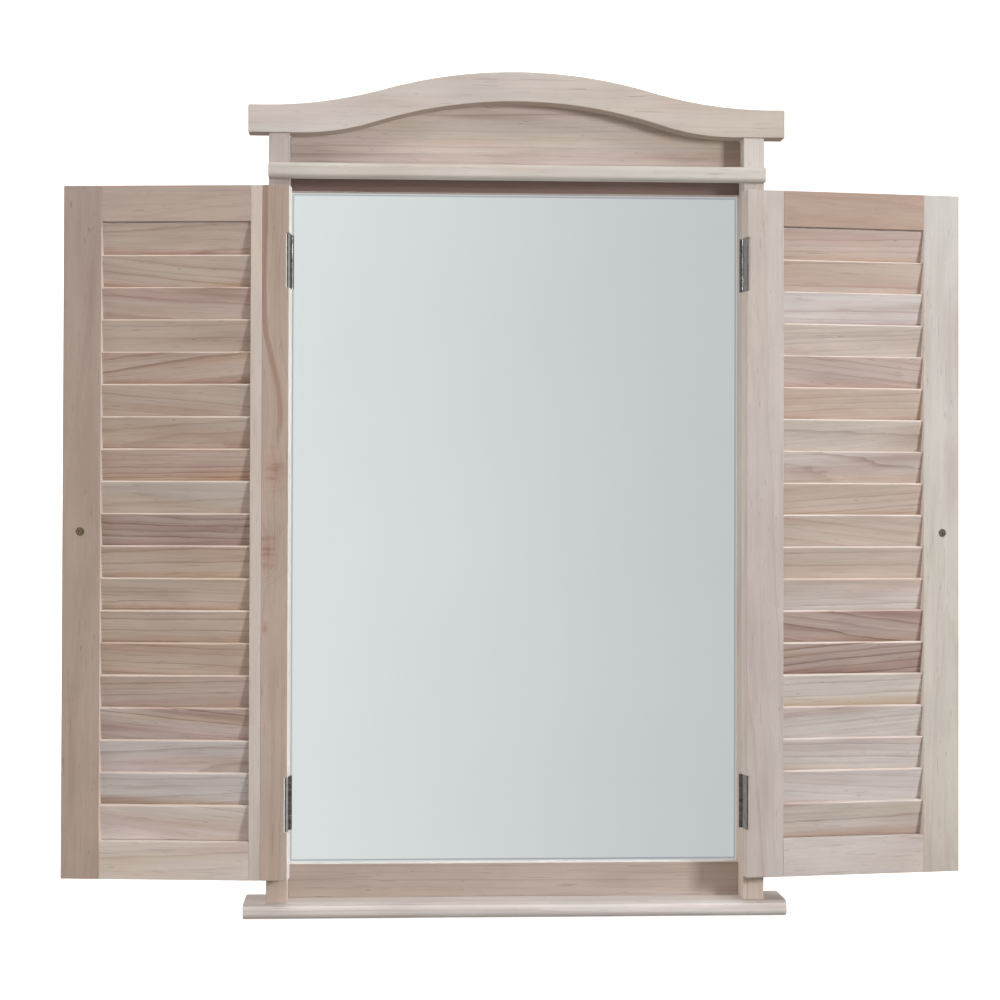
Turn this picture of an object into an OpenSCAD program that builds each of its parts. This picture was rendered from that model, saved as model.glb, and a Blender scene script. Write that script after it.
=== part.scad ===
// Wall mirror in a raw wooden frame with an arched cornice, a sill and two hinged louvred shutters.
// Millimetres. X runs to the right, -Y towards the viewer and Z up. Y = 0 is the wall, Z = 0 is
// the underside of the sill, and X = 0 is the middle. The shutters are drawn open, folded back
// in front of the posts, and turn about the hinge pins.

/* [Frame] */
// Clear width between the two posts
opening_w = 383; // [340:1:600]
// Width of each post, seen from the front
post_w = 17.5; // [16:0.5:30]
// Depth of each post, from the wall to its front
post_d = 45; // [42:1:70]
// Height of the posts above the batten
post_above_batten = 26; // [26:1:60]
// Thickness of the two rails that frame the mirror, front to back
rail_t = 19; // [16:0.5:24]
// Height of the bottom rail
bottom_rail_h = 28.5; // [27:0.5:45]
// Height of the top rail
top_rail_h = 20; // [18:0.5:40]
// Height of the top rail's lower edge above the shutters
top_rail_lift = 1; // [0.5:0.5:4]

/* [Sill] */
// Thickness of the sill
sill_t = 13; // [11:0.5:25]
// Length of the sill beyond each post
sill_overhang = 19; // [5:1:60]
// Depth of the sill in front of the posts
sill_front = 5; // [0:0.5:30]
// Radius of the sill's rounded front edges
sill_nose_r = 5.5; // [1:0.5:8]

/* [Cornice] */
// Height of the cornice board at its ends
cornice_band = 23.5; // [20:0.5:40]
// Thickness of the cornice board, front to back
cornice_t = 20; // [14:0.5:24]
// Length of the cornice beyond each post
cornice_overhang = 17.25; // [4:0.25:50]
// How far the cornice stands in front of the posts
cornice_front = 1; // [0:0.5:6]
// Rise of the cornice's upper edge
arch_rise = 29.8; // [15:0.1:40]
// Radius of the cornice's upper edge at its crown
arch_crown_r = 410; // [250:5:450]
// Straight length of the upper edge at each end
arch_shoulder = 12; // [2:1:30]
// Rise of the cornice's lower edge
soffit_rise = 28.2; // [12:0.1:30]
// Radius of the cornice's lower edge at its crown
soffit_crown_r = 400; // [250:5:420]
// Straight length of the lower edge at each end
soffit_shoulder = 44; // [36:1:50]

/* [Batten and panel] */
// Height of the batten across the posts
batten_h = 12.5; // [9:0.5:25]
// Depth of the batten, in front of the posts
batten_d = 10; // [8:0.5:20]
// Radius of the batten's rounded front edges
batten_nose_r = 3.5; // [0.5:0.5:5]
// Thickness of the panel behind the cornice
panel_t = 10; // [8:0.5:14]
// How far the panel's top lies under the cornice's upper edge
panel_inset = 6; // [2:0.5:10]

/* [Mirror] */
// Thickness of the mirror glass
glass_t = 3; // [2:0.5:4]
// Thickness of the backing board
backing_t = 2.5; // [1.5:0.5:4]
// Width of the rebate that the glass lies in
rebate_w = 7; // [4:0.5:8]
// Gap between the glass and the rebate's side
glass_gap = 0.8; // [0.3:0.1:0.9]
// Radius of the sprigs that hold the backing board
sprig_r = 0.5; // [0.4:0.1:0.8]
// Length of the sprigs
sprig_len = 14; // [12:0.5:15]

/* [Shutters] */
// Height of each shutter
shutter_h = 576; // [420:1:900]
// Thickness of each shutter
shutter_t = 16; // [15:0.5:18]
// Width of the stiles
stile_w = 32; // [26:0.5:45]
// Width of the glued strip on the left hinge stile
strip_w = 9.5; // [7:0.5:13]
// Height of the shutters' top rails
shutter_top_rail_h = 30; // [28:0.5:60]
// Height of the shutters' bottom rails
shutter_bottom_rail_h = 31.5; // [28:0.5:60]
// Gap between the sill and the shutters
shutter_lift = 21.5; // [2:0.5:22]
// Gap between the shutters and the batten
shutter_head_gap = 8; // [2:0.5:12]
// Gap between each closed shutter and its post
hinge_gap = 1.5; // [1.5:0.1:2.5]
// Gap between the two closed shutters
centre_gap = 2.2; // [2:0.1:5]
// Angle that the left shutter stands open
left_open = 186; // [0:1:190]
// Angle that the right shutter stands open
right_open = 189; // [0:1:190]

/* [Slats] */
// Number of slats in each shutter
slat_count = 19; // [12:1:20]
// Thickness of each slat
slat_t = 5; // [4:0.5:5]
// Lean of each slat from upright
slat_tilt = 12.5; // [12:0.5:16]
// How far each slat reaches down behind the next
slat_lap = 2.2; // [1:0.2:5]
// Depth of the slats' upper edges under the inner face
slat_recess = 2; // [1:0.5:3]
// Depth of the housings that hold the slats' ends
housing_d = 5; // [3:0.5:6]

/* [Hinges] */
// Height of each hinge
hinge_h = 45; // [38:1:70]
// Distance from the hinges to the shutters' ends
hinge_end = 40; // [10:1:90]
// Width of each hinge leaf on the wood
leaf_w = 11; // [9:0.5:13]
// Thickness of the hinge leaves
leaf_t = 1; // [0.8:0.1:1.2]
// Radius of the hinge knuckles
knuckle_r = 2; // [1.9:0.1:2.4]
// Radius of the hinge pins
pin_r = 1.1; // [0.8:0.1:1.2]
// Height of the middle knuckle
middle_knuckle_h = 21; // [12:0.5:26]
// Distance between the two screws of a leaf
leaf_screw_pitch = 30; // [22:1:32]

/* [Knobs] */
// Radius of each knob's head
knob_r = 10; // [8:0.5:12]
// Length of each knob
knob_len = 15; // [13:0.5:16]
// Thickness of each knob's rounded head
knob_head_t = 8; // [5:0.5:9]
// Radius of each knob's foot
knob_foot_r = 6.5; // [5:0.5:8]
// Distance from the knobs to the shutters' free edges
knob_inset = 15; // [12:0.5:20]

/* [Hangers] */
// Height of each hanger plate
hanger_h = 32; // [32:1:40]
// Width of each hanger plate
hanger_w = 13; // [12:0.5:15]
// Thickness of each hanger plate
hanger_t = 1.5; // [1.2:0.1:2]
// Height of the hanger plates' middles above the batten's underside
hanger_lift = 21.5; // [21:0.5:22]
// Radius of the hole that takes the wall screw's head
keyhole_r = 4; // [3.5:0.1:4.5]
// Radius of the slot that the wall screw's shank rests in
keyslot_r = 2.2; // [1.5:0.1:2.8]
// Length of the slot above the hole
keyslot_len = 8; // [6:0.5:8]

/* [Joinery] */
// Radius of the dowels in the frame and the shutters
dowel_r = 3; // [2:0.5:3.5]
// Length of the dowels
dowel_len = 20; // [16:1:22]
// Distance of the dowels from the rails' edges
dowel_inset = 8; // [6:0.5:9]
// Radius of the dowels that hold the batten
batten_dowel_r = 2; // [1.5:0.5:2.5]
// Depth of each batten dowel in the batten
batten_dowel_in = 6; // [4:0.5:7]
// Depth of each batten dowel in the post
batten_dowel_back = 8; // [5:0.5:10]
// Length of the screws that hold the sill
sill_screw_len = 34; // [26:1:36]
// Distance of the sill's rail screws from the middle
sill_screw_x = 95; // [40:5:140]

/* [Hidden] */
$fn = 48;

// Colours of the materials
POST_WOOD = "#b3a294";
PALE_WOOD = "#c9beb3";
SHADED_WOOD = "#a8958a";
SLAT_WOOD = "#b9aa9f";
DOWEL_WOOD = "#cdb998";
HARDBOARD = "#7d5f45";
SILVERED_GLASS = "#b4c0c2";
HINGE_STEEL = "#8a8785";
DARK_ZINC = "#6b5e50";

// Clearances: how much a cut runs past a face, glued and screwed fits, and the hinge pins' fit
over = 1;
wood_fit = 0.05;
pin_fit = 0.05;
slat_fit = 0.15;
slat_end_gap = 0.2;
panel_gap = 0.2;
notch_gap = 0.3;
knuckle_gap = 0.3;
leaf_setback = 0.4;
sprig_cover = 0.5;

// Places across the frame
half_in = opening_w / 2;
half_out = half_in + post_w;
post_x = half_in + post_w / 2;
half_sill = half_out + sill_overhang;
half_cornice = half_out + cornice_overhang;

// Heights, from the sill up
shutter_z0 = sill_t + shutter_lift;
shutter_z1 = shutter_z0 + shutter_h;
bottom_rail_z1 = sill_t + bottom_rail_h;
top_rail_z0 = shutter_z1 + top_rail_lift;
top_rail_z1 = top_rail_z0 + top_rail_h;
batten_z0 = shutter_z1 + shutter_head_gap;
batten_z1 = batten_z0 + batten_h;
post_z1 = batten_z1 + post_above_batten;
hanger_z = batten_z0 + hanger_lift;

// Rebate behind the glass, and the glass in it
rebate_d = glass_t + backing_t + 2 * sprig_r + sprig_cover;
glass_lap = rebate_w - glass_gap;
sprig_y = -(sprig_cover + sprig_r);
rail_mid_y = -(rebate_d + rail_t) / 2;

// Cornice. Its hollow toes lie a hair low and lap under the crown, so that the curves truly cross
toe_sink = 0.05;
arch_lap = 10;
cornice_y0 = -(post_d + cornice_front);
cornice_y1 = cornice_y0 + cornice_t;
cornice_mid_y = (cornice_y0 + cornice_y1) / 2;

// Hinge axes, and the shutter's cross-section measured from its axis when closed
axis_x = half_in - knuckle_r;
axis_y = -(post_d + knuckle_r);
edge_u = hinge_gap - knuckle_r;
free_u = axis_x - centre_gap / 2;
outer_w = knuckle_r;
inner_w = outer_w + shutter_t;
middle_w = (outer_w + inner_w) / 2;
stile_u = edge_u + stile_w;
far_stile_u = free_u - stile_w;
upper_hinge_z = shutter_z1 - hinge_end - hinge_h / 2;
lower_hinge_z = shutter_z0 + hinge_end + hinge_h / 2;
knob_u = free_u - knob_inset;
knob_z = (shutter_z0 + shutter_z1) / 2;

// Slats
slats_top = shutter_z1 - shutter_top_rail_h - slat_end_gap - slat_t * sin(slat_tilt);
slats_bottom = shutter_z0 + shutter_bottom_rail_h + slat_end_gap;
slat_pitch = (slats_top - slats_bottom - slat_lap) / slat_count;
slat_len = (slat_pitch + slat_lap) / cos(slat_tilt);

// Screws: shank radius, head radius and length; and the cross recess as shares of the head's radius
frame_screw = [1.7, 3.4, sill_screw_len];
leaf_screw = [1.1, 2.2, 10];
knob_screw_in = 8;
knob_screw = [1.7, 3.7, shutter_t + knob_screw_in];
hanger_screw = [1.2, 2.6, 10];
screw_tip = 3;
tip_r = 0.2;
cross_arm = 0.55;
cross_slit = 0.11;
cross_depth = 0.35;
nail_r = 0.7;
nail_head_r = 1.5;
nail_head_t = 0.6;
nail_in_cornice = 6;
nail_lift = 8;
nail_xs = [-150, -75, 0, 75, 150];
post_sprig_count = 4;
rail_sprig_xs = [-110, 110];
pocket_d = 6;
pocket_gap = 1;
plate_corner_r = 2;
hanger_screw_inset = 3.5;
knob_taper = 1.5;
seam = 0.01;

// Radius of an arch's toe, from its half span, its rise and the radius at its crown
function toe_r(span, rise, crown_r) = (span * span / rise + rise) / 2 - crown_r;

// Height of an arch above its springing at x
function arch_z(x, span, rise, crown_r) =
    let (toe = toe_r(span, rise, crown_r), bend = span * crown_r / (crown_r + toe))
    abs(x) >= span ? 0
    : abs(x) > bend ? toe - sqrt(toe * toe - pow(span - abs(x), 2))
    : rise - crown_r + sqrt(crown_r * crown_r - x * x);

// Height of slat number k's upper inner edge
function slat_z(k) = slats_top - k * slat_pitch;

// Height of post sprig number k
function sprig_z(k) = bottom_rail_z1 + (k + 0.5) * (top_rail_z0 - bottom_rail_z1) / post_sprig_count;

// A box between two corners
module box(x, y, z) {
    translate([min(x), min(y), min(z)])
        cube([max(x) - min(x), max(y) - min(y), max(z) - min(z)]);
}

// A flat shape drawn in X and Z, with its back face at y and its thickness towards the viewer
module board(y, t) {
    translate([0, y, 0]) rotate([90, 0, 0]) linear_extrude(t) children();
}

// A profile drawn in Y and Z, run along X
module moulding(half_length) {
    translate([-half_length, 0, 0]) rotate([90, 0, 90]) linear_extrude(2 * half_length) children();
}

// Profile of a board from y to 0 with both front edges rounded
module nosed_profile(depth, height, radius) {
    r = min(radius, height / 2 - seam, depth / 2);
    translate([-(depth - r), 0]) square([depth - r, height]);
    translate([-depth, r]) square([r + seam, height - 2 * r]);
    translate([-(depth - r), r]) circle(r);
    translate([-(depth - r), height - r]) circle(r);
}

// The area under an arch: a round crown between two hollow toes, run on below its springing
module arch_shape(span, rise, crown_r) {
    toe = toe_r(span, rise, crown_r);
    bend_x = span * crown_r / (crown_r + toe);
    intersection() {
        translate([0, rise - crown_r]) circle(crown_r, $fn = 360);
        translate([-(bend_x + arch_lap), -over]) square([2 * (bend_x + arch_lap), rise + 2 * over]);
    }
    for (side = [-1, 1]) {
        difference() {
            translate([side > 0 ? bend_x : -span, -over]) square([span - bend_x, rise + over]);
            translate([side * span, toe - toe_sink]) circle(toe, $fn = 360);
        }
    }
}

// The area under the cornice's upper edge, over its straight ends
module cornice_top_shape(half_width, height) {
    translate([-half_width, 0]) square([2 * half_width, height]);
    intersection() {
        translate([0, height]) arch_shape(half_cornice - arch_shoulder, arch_rise, arch_crown_r);
        translate([-half_width, 0]) square([2 * half_width, height + arch_rise + over]);
    }
}

// Turned outline of a countersunk wood screw, head up at z = 0 and point down, grown by fit
module screw_body(size, fit) {
    shank = size[0] + fit;
    head = size[1] + fit;
    cone = size[1] - size[0];
    end = size[2] + fit;
    rotate_extrude()
        polygon([[0, 0], [head, 0], [shank, -cone], [shank, screw_tip - end], [tip_r, -end], [0, -end]]);
}

// A countersunk wood screw with a cross recess
module wood_screw(size) {
    arm = size[1] * cross_arm;
    slit = size[1] * cross_slit;
    depth = size[1] * cross_depth;
    difference() {
        screw_body(size, 0);
        box([-arm, arm], [-slit, slit], [-depth, over]);
        box([-slit, slit], [-arm, arm], [-depth, over]);
    }
}

// The hole for a wood screw, opened upwards through what covers it
module screw_hole(size) {
    screw_body(size, wood_fit);
    cylinder(h = over, r = size[1] + wood_fit);
}

// Places of the sill's screws: into the posts and into the bottom rail
module at_sill_screws() {
    for (side = [-1, 1]) {
        translate([side * post_x, -post_d / 2, 0]) rotate([180, 0, 0]) children();
        translate([side * sill_screw_x, rail_mid_y, 0]) rotate([180, 0, 0]) children();
    }
}

// Places of the dowels between the rails and the posts, each along X and centred on the joint
module at_frame_dowels() {
    heights = [sill_t + dowel_inset, bottom_rail_z1 - dowel_inset, (top_rail_z0 + top_rail_z1) / 2];
    for (side = [-1, 1]) {
        for (z = heights) {
            translate([side * half_in, rail_mid_y, z]) rotate([0, 90, 0]) children();
        }
    }
}

// Places of the dowels that stand in the post tops and carry the cornice
module at_cornice_dowels() {
    for (side = [-1, 1]) {
        translate([side * post_x, cornice_mid_y, post_z1]) children();
    }
}

// Places of the dowels that hold the batten, each from the batten back into a post
module at_batten_dowels() {
    for (side = [-1, 1]) {
        translate([side * post_x, -(post_d + batten_dowel_in), (batten_z0 + batten_z1) / 2])
            rotate([-90, 0, 0]) children();
    }
}

// Places of the nails that hold the panel to the cornice, head towards the wall
module at_panel_nails() {
    span = half_cornice - soffit_shoulder;
    for (x = nail_xs) {
        z = post_z1 + nail_lift + arch_z(x, span, soffit_rise, soffit_crown_r);
        translate([x, cornice_y1 + panel_t, z]) rotate([-90, 0, 0]) children();
    }
}

// Places of the sprigs: each starts in line with the opening's edge and runs into the wood
module at_sprigs() {
    for (side = [-1, 1]) {
        for (k = [0 : post_sprig_count - 1]) {
            translate([side * half_in, sprig_y, sprig_z(k)]) rotate([0, side * 90, 0]) children();
        }
    }
    for (x = rail_sprig_xs) {
        translate([x, sprig_y, bottom_rail_z1]) rotate([180, 0, 0]) children();
        translate([x, sprig_y, top_rail_z0]) children();
    }
}

// Places of the two screws of each hanger plate
module at_hanger_screws() {
    for (side = [-1, 1]) {
        for (end = [-1, 1]) {
            translate([side * post_x, 0, hanger_z + end * (hanger_h / 2 - hanger_screw_inset)])
                rotate([-90, 0, 0]) children();
        }
    }
}

// Frames whose origin is a hinge axis: the cabinet's, and each shutter's turned to where it stands
module on_left_axis() {
    translate([-axis_x, axis_y, 0]) children();
}

module on_right_axis() {
    mirror([1, 0, 0]) on_left_axis() children();
}

module on_left_shutter() {
    on_left_axis() rotate([0, 0, -left_open]) children();
}

module on_right_shutter() {
    on_right_axis() rotate([0, 0, -right_open]) children();
}

// Places of the screws that hold a hinge's leaf to the post, and to the shutter
module at_post_leaf_screws(hinge_z) {
    for (end = [-1, 1]) {
        translate([leaf_t - knuckle_r, knuckle_r + leaf_w / 2, hinge_z + end * leaf_screw_pitch / 2])
            rotate([0, 90, 0]) children();
    }
}

module at_shutter_leaf_screws(hinge_z) {
    for (end = [-1, 1]) {
        translate([knuckle_r - leaf_t, knuckle_r + leaf_w / 2, hinge_z + end * leaf_screw_pitch / 2])
            rotate([0, -90, 0]) children();
    }
}

// Places of the dowels between a shutter's rails and stiles, each along X and centred on the joint
module at_shutter_dowels() {
    heights = [
        shutter_z0 + dowel_inset, shutter_z0 + shutter_bottom_rail_h - dowel_inset,
        shutter_z1 - shutter_top_rail_h + dowel_inset, shutter_z1 - dowel_inset
    ];
    for (u = [stile_u, far_stile_u]) {
        for (z = heights) {
            translate([u, middle_w, z]) rotate([0, 90, 0]) children();
        }
    }
}

// A dowel centred on its joint, and the hole for it
module dowel(fit) {
    cylinder(h = dowel_len + 2 * fit, r = dowel_r + fit, center = true);
}

// Keyhole: a round hole for a screw's head with a slot above it, drawn in X and Z
module keyhole_shape() {
    circle(keyhole_r);
    translate([-keyslot_r, 0]) square([2 * keyslot_r, keyslot_len]);
    translate([0, keyslot_len]) circle(keyslot_r);
}

// Pocket behind a keyhole, wide enough for the wall screw's head all the way up
module pocket_shape() {
    r = keyhole_r + pocket_gap;
    circle(r);
    translate([-r, 0]) square([2 * r, keyslot_len]);
    translate([0, keyslot_len]) circle(r);
}

// Outline of a hanger plate with rounded corners, grown by fit
module hanger_outline(fit) {
    w = hanger_w / 2 + fit;
    h = hanger_h / 2 + fit;
    r = plate_corner_r;
    translate([-w, r - h]) square([2 * w, 2 * (h - r)]);
    translate([r - w, -h]) square([2 * (w - r), 2 * h]);
    for (x = [-1, 1]) {
        for (z = [-1, 1]) {
            translate([x * (w - r), z * (h - r)]) circle(r);
        }
    }
}

// Sill: a board with a rounded front, under the posts
module sill() {
    color(PALE_WOOD) difference() {
        moulding(half_sill) nosed_profile(post_d + sill_front, sill_t, sill_nose_r);
        at_sill_screws() screw_hole(frame_screw);
    }
}

// A post, with the rebate for the glass and all that is bored or let into it
module post(side) {
    color(POST_WOOD) difference() {
        box([side * half_in, side * half_out], [-post_d, 0], [sill_t, post_z1]);
        box([side * (half_in - over), side * (half_in + rebate_w)], [-rebate_d, over],
            [bottom_rail_z1 - rebate_w, top_rail_z0 + rebate_w]);
        at_sill_screws() screw_hole(frame_screw);
        at_frame_dowels() dowel(wood_fit);
        at_cornice_dowels() dowel(wood_fit);
        at_batten_dowels()
            cylinder(h = batten_dowel_in + batten_dowel_back + wood_fit, r = batten_dowel_r + wood_fit);
        at_sprigs() cylinder(h = sprig_len + wood_fit, r = sprig_r + wood_fit);
        at_hanger_screws() screw_hole(hanger_screw);
        translate([side * post_x, 0, hanger_z]) {
            board(over, hanger_t + over) hanger_outline(wood_fit);
            board(0, hanger_t + pocket_d) translate([0, -keyhole_r]) pocket_shape();
        }
        if (side < 0) {
            on_left_axis() at_post_leaf_screws(upper_hinge_z) screw_hole(leaf_screw);
            on_left_axis() at_post_leaf_screws(lower_hinge_z) screw_hole(leaf_screw);
        } else {
            on_right_axis() at_post_leaf_screws(upper_hinge_z) screw_hole(leaf_screw);
            on_right_axis() at_post_leaf_screws(lower_hinge_z) screw_hole(leaf_screw);
        }
    }
}

module left_post() {
    post(-1);
}

module right_post() {
    post(1);
}

// Bottom rail, rebated along its upper back edge
module bottom_rail() {
    color(SHADED_WOOD) difference() {
        box([-half_in, half_in], [-rail_t, 0], [sill_t, bottom_rail_z1]);
        box([-half_in - over, half_in + over], [-rebate_d, over],
            [bottom_rail_z1 - rebate_w, bottom_rail_z1 + over]);
        at_frame_dowels() dowel(wood_fit);
        at_sill_screws() screw_hole(frame_screw);
        at_sprigs() cylinder(h = sprig_len + wood_fit, r = sprig_r + wood_fit);
    }
}

// Top rail, rebated along its lower back edge
module top_rail() {
    color(SHADED_WOOD) difference() {
        box([-half_in, half_in], [-rail_t, 0], [top_rail_z0, top_rail_z1]);
        box([-half_in - over, half_in + over], [-rebate_d, over],
            [top_rail_z0 - over, top_rail_z0 + rebate_w]);
        at_frame_dowels() dowel(wood_fit);
        at_sprigs() cylinder(h = sprig_len + wood_fit, r = sprig_r + wood_fit);
    }
}

// Batten across the posts' fronts, over the shutters
module batten() {
    color(PALE_WOOD) difference() {
        translate([0, -post_d, batten_z0])
            moulding(half_out) nosed_profile(batten_d, batten_h, batten_nose_r);
        at_batten_dowels() translate([0, 0, -wood_fit])
            cylinder(h = batten_dowel_in + over, r = batten_dowel_r + wood_fit);
    }
}

// Cornice: an arched board on the post tops
module cornice() {
    color(PALE_WOOD) difference() {
        translate([0, 0, post_z1]) board(cornice_y1, cornice_t) difference() {
            cornice_top_shape(half_cornice, cornice_band);
            arch_shape(half_cornice - soffit_shoulder, soffit_rise, soffit_crown_r);
        }
        at_cornice_dowels() dowel(wood_fit);
        at_panel_nails() mirror([0, 0, 1])
            cylinder(h = panel_t + nail_in_cornice + wood_fit, r = nail_r + wood_fit);
    }
}

// Panel behind the cornice, standing on the top rail between the posts
module pediment_panel() {
    height = post_z1 + cornice_band - panel_inset - top_rail_z1;
    color(POST_WOOD) difference() {
        translate([0, 0, top_rail_z1]) board(cornice_y1 + panel_t, panel_t)
            cornice_top_shape(half_in - panel_gap, height);
        at_panel_nails() translate([0, 0, -panel_t - over])
            cylinder(h = panel_t + 2 * over, r = nail_r + wood_fit);
    }
}

// Mirror glass and the board behind it, both lapped by the rebate all round
module glass_sheet(y, t) {
    box([-(half_in + glass_lap), half_in + glass_lap], [y, y + t],
        [bottom_rail_z1 - glass_lap, top_rail_z0 + glass_lap]);
}

module mirror_glass() {
    color(SILVERED_GLASS) glass_sheet(-rebate_d, glass_t);
}

module backing_board() {
    color(HARDBOARD) glass_sheet(glass_t - rebate_d, backing_t);
}

// Sprigs driven into the rebate's sides over the backing board
module glazing_sprigs() {
    color(HINGE_STEEL) at_sprigs() cylinder(h = sprig_len, r = sprig_r);
}

module frame_dowels() {
    color(DOWEL_WOOD) at_frame_dowels() dowel(0);
}

module cornice_dowels() {
    color(DOWEL_WOOD) at_cornice_dowels() dowel(0);
}

module batten_dowels() {
    color(DOWEL_WOOD) at_batten_dowels()
        cylinder(h = batten_dowel_in + batten_dowel_back, r = batten_dowel_r);
}

module sill_screws() {
    color(DARK_ZINC) at_sill_screws() wood_screw(frame_screw);
}

// Flat-headed nails from behind the panel into the cornice
module panel_nails() {
    color(HINGE_STEEL) at_panel_nails() {
        cylinder(h = nail_head_t, r = nail_head_r);
        translate([0, 0, -(panel_t + nail_in_cornice)])
            cylinder(h = panel_t + nail_in_cornice + nail_head_t / 2, r = nail_r);
    }
}

// Hanger plate let into the back of a post, with a keyhole for a wall screw
module hanger_plate(side) {
    color(HINGE_STEEL) difference() {
        translate([side * post_x, 0, hanger_z]) board(0, hanger_t) difference() {
            hanger_outline(0);
            translate([0, -keyhole_r]) keyhole_shape();
        }
        at_hanger_screws() screw_hole(hanger_screw);
    }
}

module left_hanger_plate() {
    hanger_plate(-1);
}

module right_hanger_plate() {
    hanger_plate(1);
}

module hanger_screws() {
    color(DARK_ZINC) at_hanger_screws() wood_screw(hanger_screw);
}

// Hinge leaf screwed to the post's inner side, with the middle knuckle
module post_leaf(hinge_z) {
    w0 = knuckle_r + leaf_setback;
    color(HINGE_STEEL) difference() {
        union() {
            box([-knuckle_r, leaf_t - knuckle_r], [w0, knuckle_r + leaf_w],
                [hinge_z - hinge_h / 2, hinge_z + hinge_h / 2]);
            box([-knuckle_r, leaf_t - knuckle_r], [0, w0 + over],
                [hinge_z - middle_knuckle_h / 2, hinge_z + middle_knuckle_h / 2]);
            translate([0, 0, hinge_z]) cylinder(h = middle_knuckle_h, r = knuckle_r, center = true);
        }
        translate([0, 0, hinge_z]) cylinder(h = hinge_h, r = pin_r + pin_fit, center = true);
        at_post_leaf_screws(hinge_z) screw_hole(leaf_screw);
    }
}

// Hinge leaf let into the shutter's edge, with the two end knuckles
module shutter_leaf(hinge_z) {
    w0 = knuckle_r + leaf_setback;
    knuckle_z0 = middle_knuckle_h / 2 + knuckle_gap;
    color(HINGE_STEEL) difference() {
        union() {
            box([knuckle_r - leaf_t, knuckle_r], [w0, knuckle_r + leaf_w],
                [hinge_z - hinge_h / 2, hinge_z + hinge_h / 2]);
            for (end = [-1, 1]) {
                box([knuckle_r - leaf_t, knuckle_r], [0, w0 + over],
                    [hinge_z + end * knuckle_z0, hinge_z + end * hinge_h / 2]);
                translate([0, 0, hinge_z + end * (knuckle_z0 + hinge_h / 2) / 2])
                    cylinder(h = hinge_h / 2 - knuckle_z0, r = knuckle_r, center = true);
            }
        }
        translate([0, 0, hinge_z]) cylinder(h = hinge_h + 2 * over, r = pin_r + pin_fit, center = true);
        at_shutter_leaf_screws(hinge_z) screw_hole(leaf_screw);
    }
}

module hinge_pin(hinge_z) {
    color(HINGE_STEEL) translate([0, 0, hinge_z]) cylinder(h = hinge_h, r = pin_r, center = true);
}

module left_upper_post_leaf() {
    on_left_axis() post_leaf(upper_hinge_z);
}

module left_lower_post_leaf() {
    on_left_axis() post_leaf(lower_hinge_z);
}

module right_upper_post_leaf() {
    on_right_axis() post_leaf(upper_hinge_z);
}

module right_lower_post_leaf() {
    on_right_axis() post_leaf(lower_hinge_z);
}

module left_upper_hinge_pin() {
    on_left_axis() hinge_pin(upper_hinge_z);
}

module left_lower_hinge_pin() {
    on_left_axis() hinge_pin(lower_hinge_z);
}

module right_upper_hinge_pin() {
    on_right_axis() hinge_pin(upper_hinge_z);
}

module right_lower_hinge_pin() {
    on_right_axis() hinge_pin(lower_hinge_z);
}

module post_leaf_screws() {
    color(DARK_ZINC) {
        at_post_leaf_screws(upper_hinge_z) wood_screw(leaf_screw);
        at_post_leaf_screws(lower_hinge_z) wood_screw(leaf_screw);
    }
}

module left_post_leaf_screws() {
    on_left_axis() post_leaf_screws();
}

module right_post_leaf_screws() {
    on_right_axis() post_leaf_screws();
}

// One slat from u0 to u1, leaning outwards at its foot, grown by fit
module slat(k, u0, u1, fit) {
    translate([0, inner_w - slat_recess, slat_z(k)]) rotate([-slat_tilt, 0, 0])
        box([u0, u1], [-slat_t - fit, fit], [-slat_len - fit, fit]);
}

// Housings for the slats' ends in both stiles
module slat_housings() {
    for (k = [0 : slat_count - 1]) {
        slat(k, stile_u - housing_d, far_stile_u + housing_d, slat_fit);
    }
}

// Notch across the hinge stile's edge for one hinge
module hinge_notch(hinge_z) {
    box([edge_u - over, knuckle_r], [outer_w - over, inner_w + over],
        [hinge_z - hinge_h / 2 - notch_gap, hinge_z + hinge_h / 2 + notch_gap]);
}

// Stretch of the hinge stile from u0 to u1, with its notches, housings and holes
module hinge_stile(u0, u1) {
    color(POST_WOOD) difference() {
        box([u0, u1], [outer_w, inner_w], [shutter_z0, shutter_z1]);
        slat_housings();
        at_shutter_dowels() dowel(wood_fit);
        for (z = [upper_hinge_z, lower_hinge_z]) {
            hinge_notch(z);
            at_shutter_leaf_screws(z) screw_hole(leaf_screw);
        }
    }
}

module free_stile() {
    color(PALE_WOOD) difference() {
        box([far_stile_u, free_u], [outer_w, inner_w], [shutter_z0, shutter_z1]);
        slat_housings();
        at_shutter_dowels() dowel(wood_fit);
        translate([knob_u, inner_w, knob_z]) rotate([-90, 0, 0]) screw_hole(knob_screw);
    }
}

module shutter_rail(z0, z1) {
    color(SLAT_WOOD) difference() {
        box([stile_u, far_stile_u], [outer_w, inner_w], [z0, z1]);
        at_shutter_dowels() dowel(wood_fit);
    }
}

module shutter_top_rail() {
    shutter_rail(shutter_z1 - shutter_top_rail_h, shutter_z1);
}

module shutter_bottom_rail() {
    shutter_rail(shutter_z0, shutter_z0 + shutter_bottom_rail_h);
}

module slats() {
    u0 = stile_u - housing_d + slat_end_gap;
    u1 = far_stile_u + housing_d - slat_end_gap;
    color(SLAT_WOOD) for (k = [0 : slat_count - 1]) {
        slat(k, u0, u1, 0);
    }
}

module shutter_dowels() {
    color(DOWEL_WOOD) at_shutter_dowels() dowel(0);
}

module shutter_leaf_screws() {
    color(DARK_ZINC) {
        at_shutter_leaf_screws(upper_hinge_z) wood_screw(leaf_screw);
        at_shutter_leaf_screws(lower_hinge_z) wood_screw(leaf_screw);
    }
}

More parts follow.
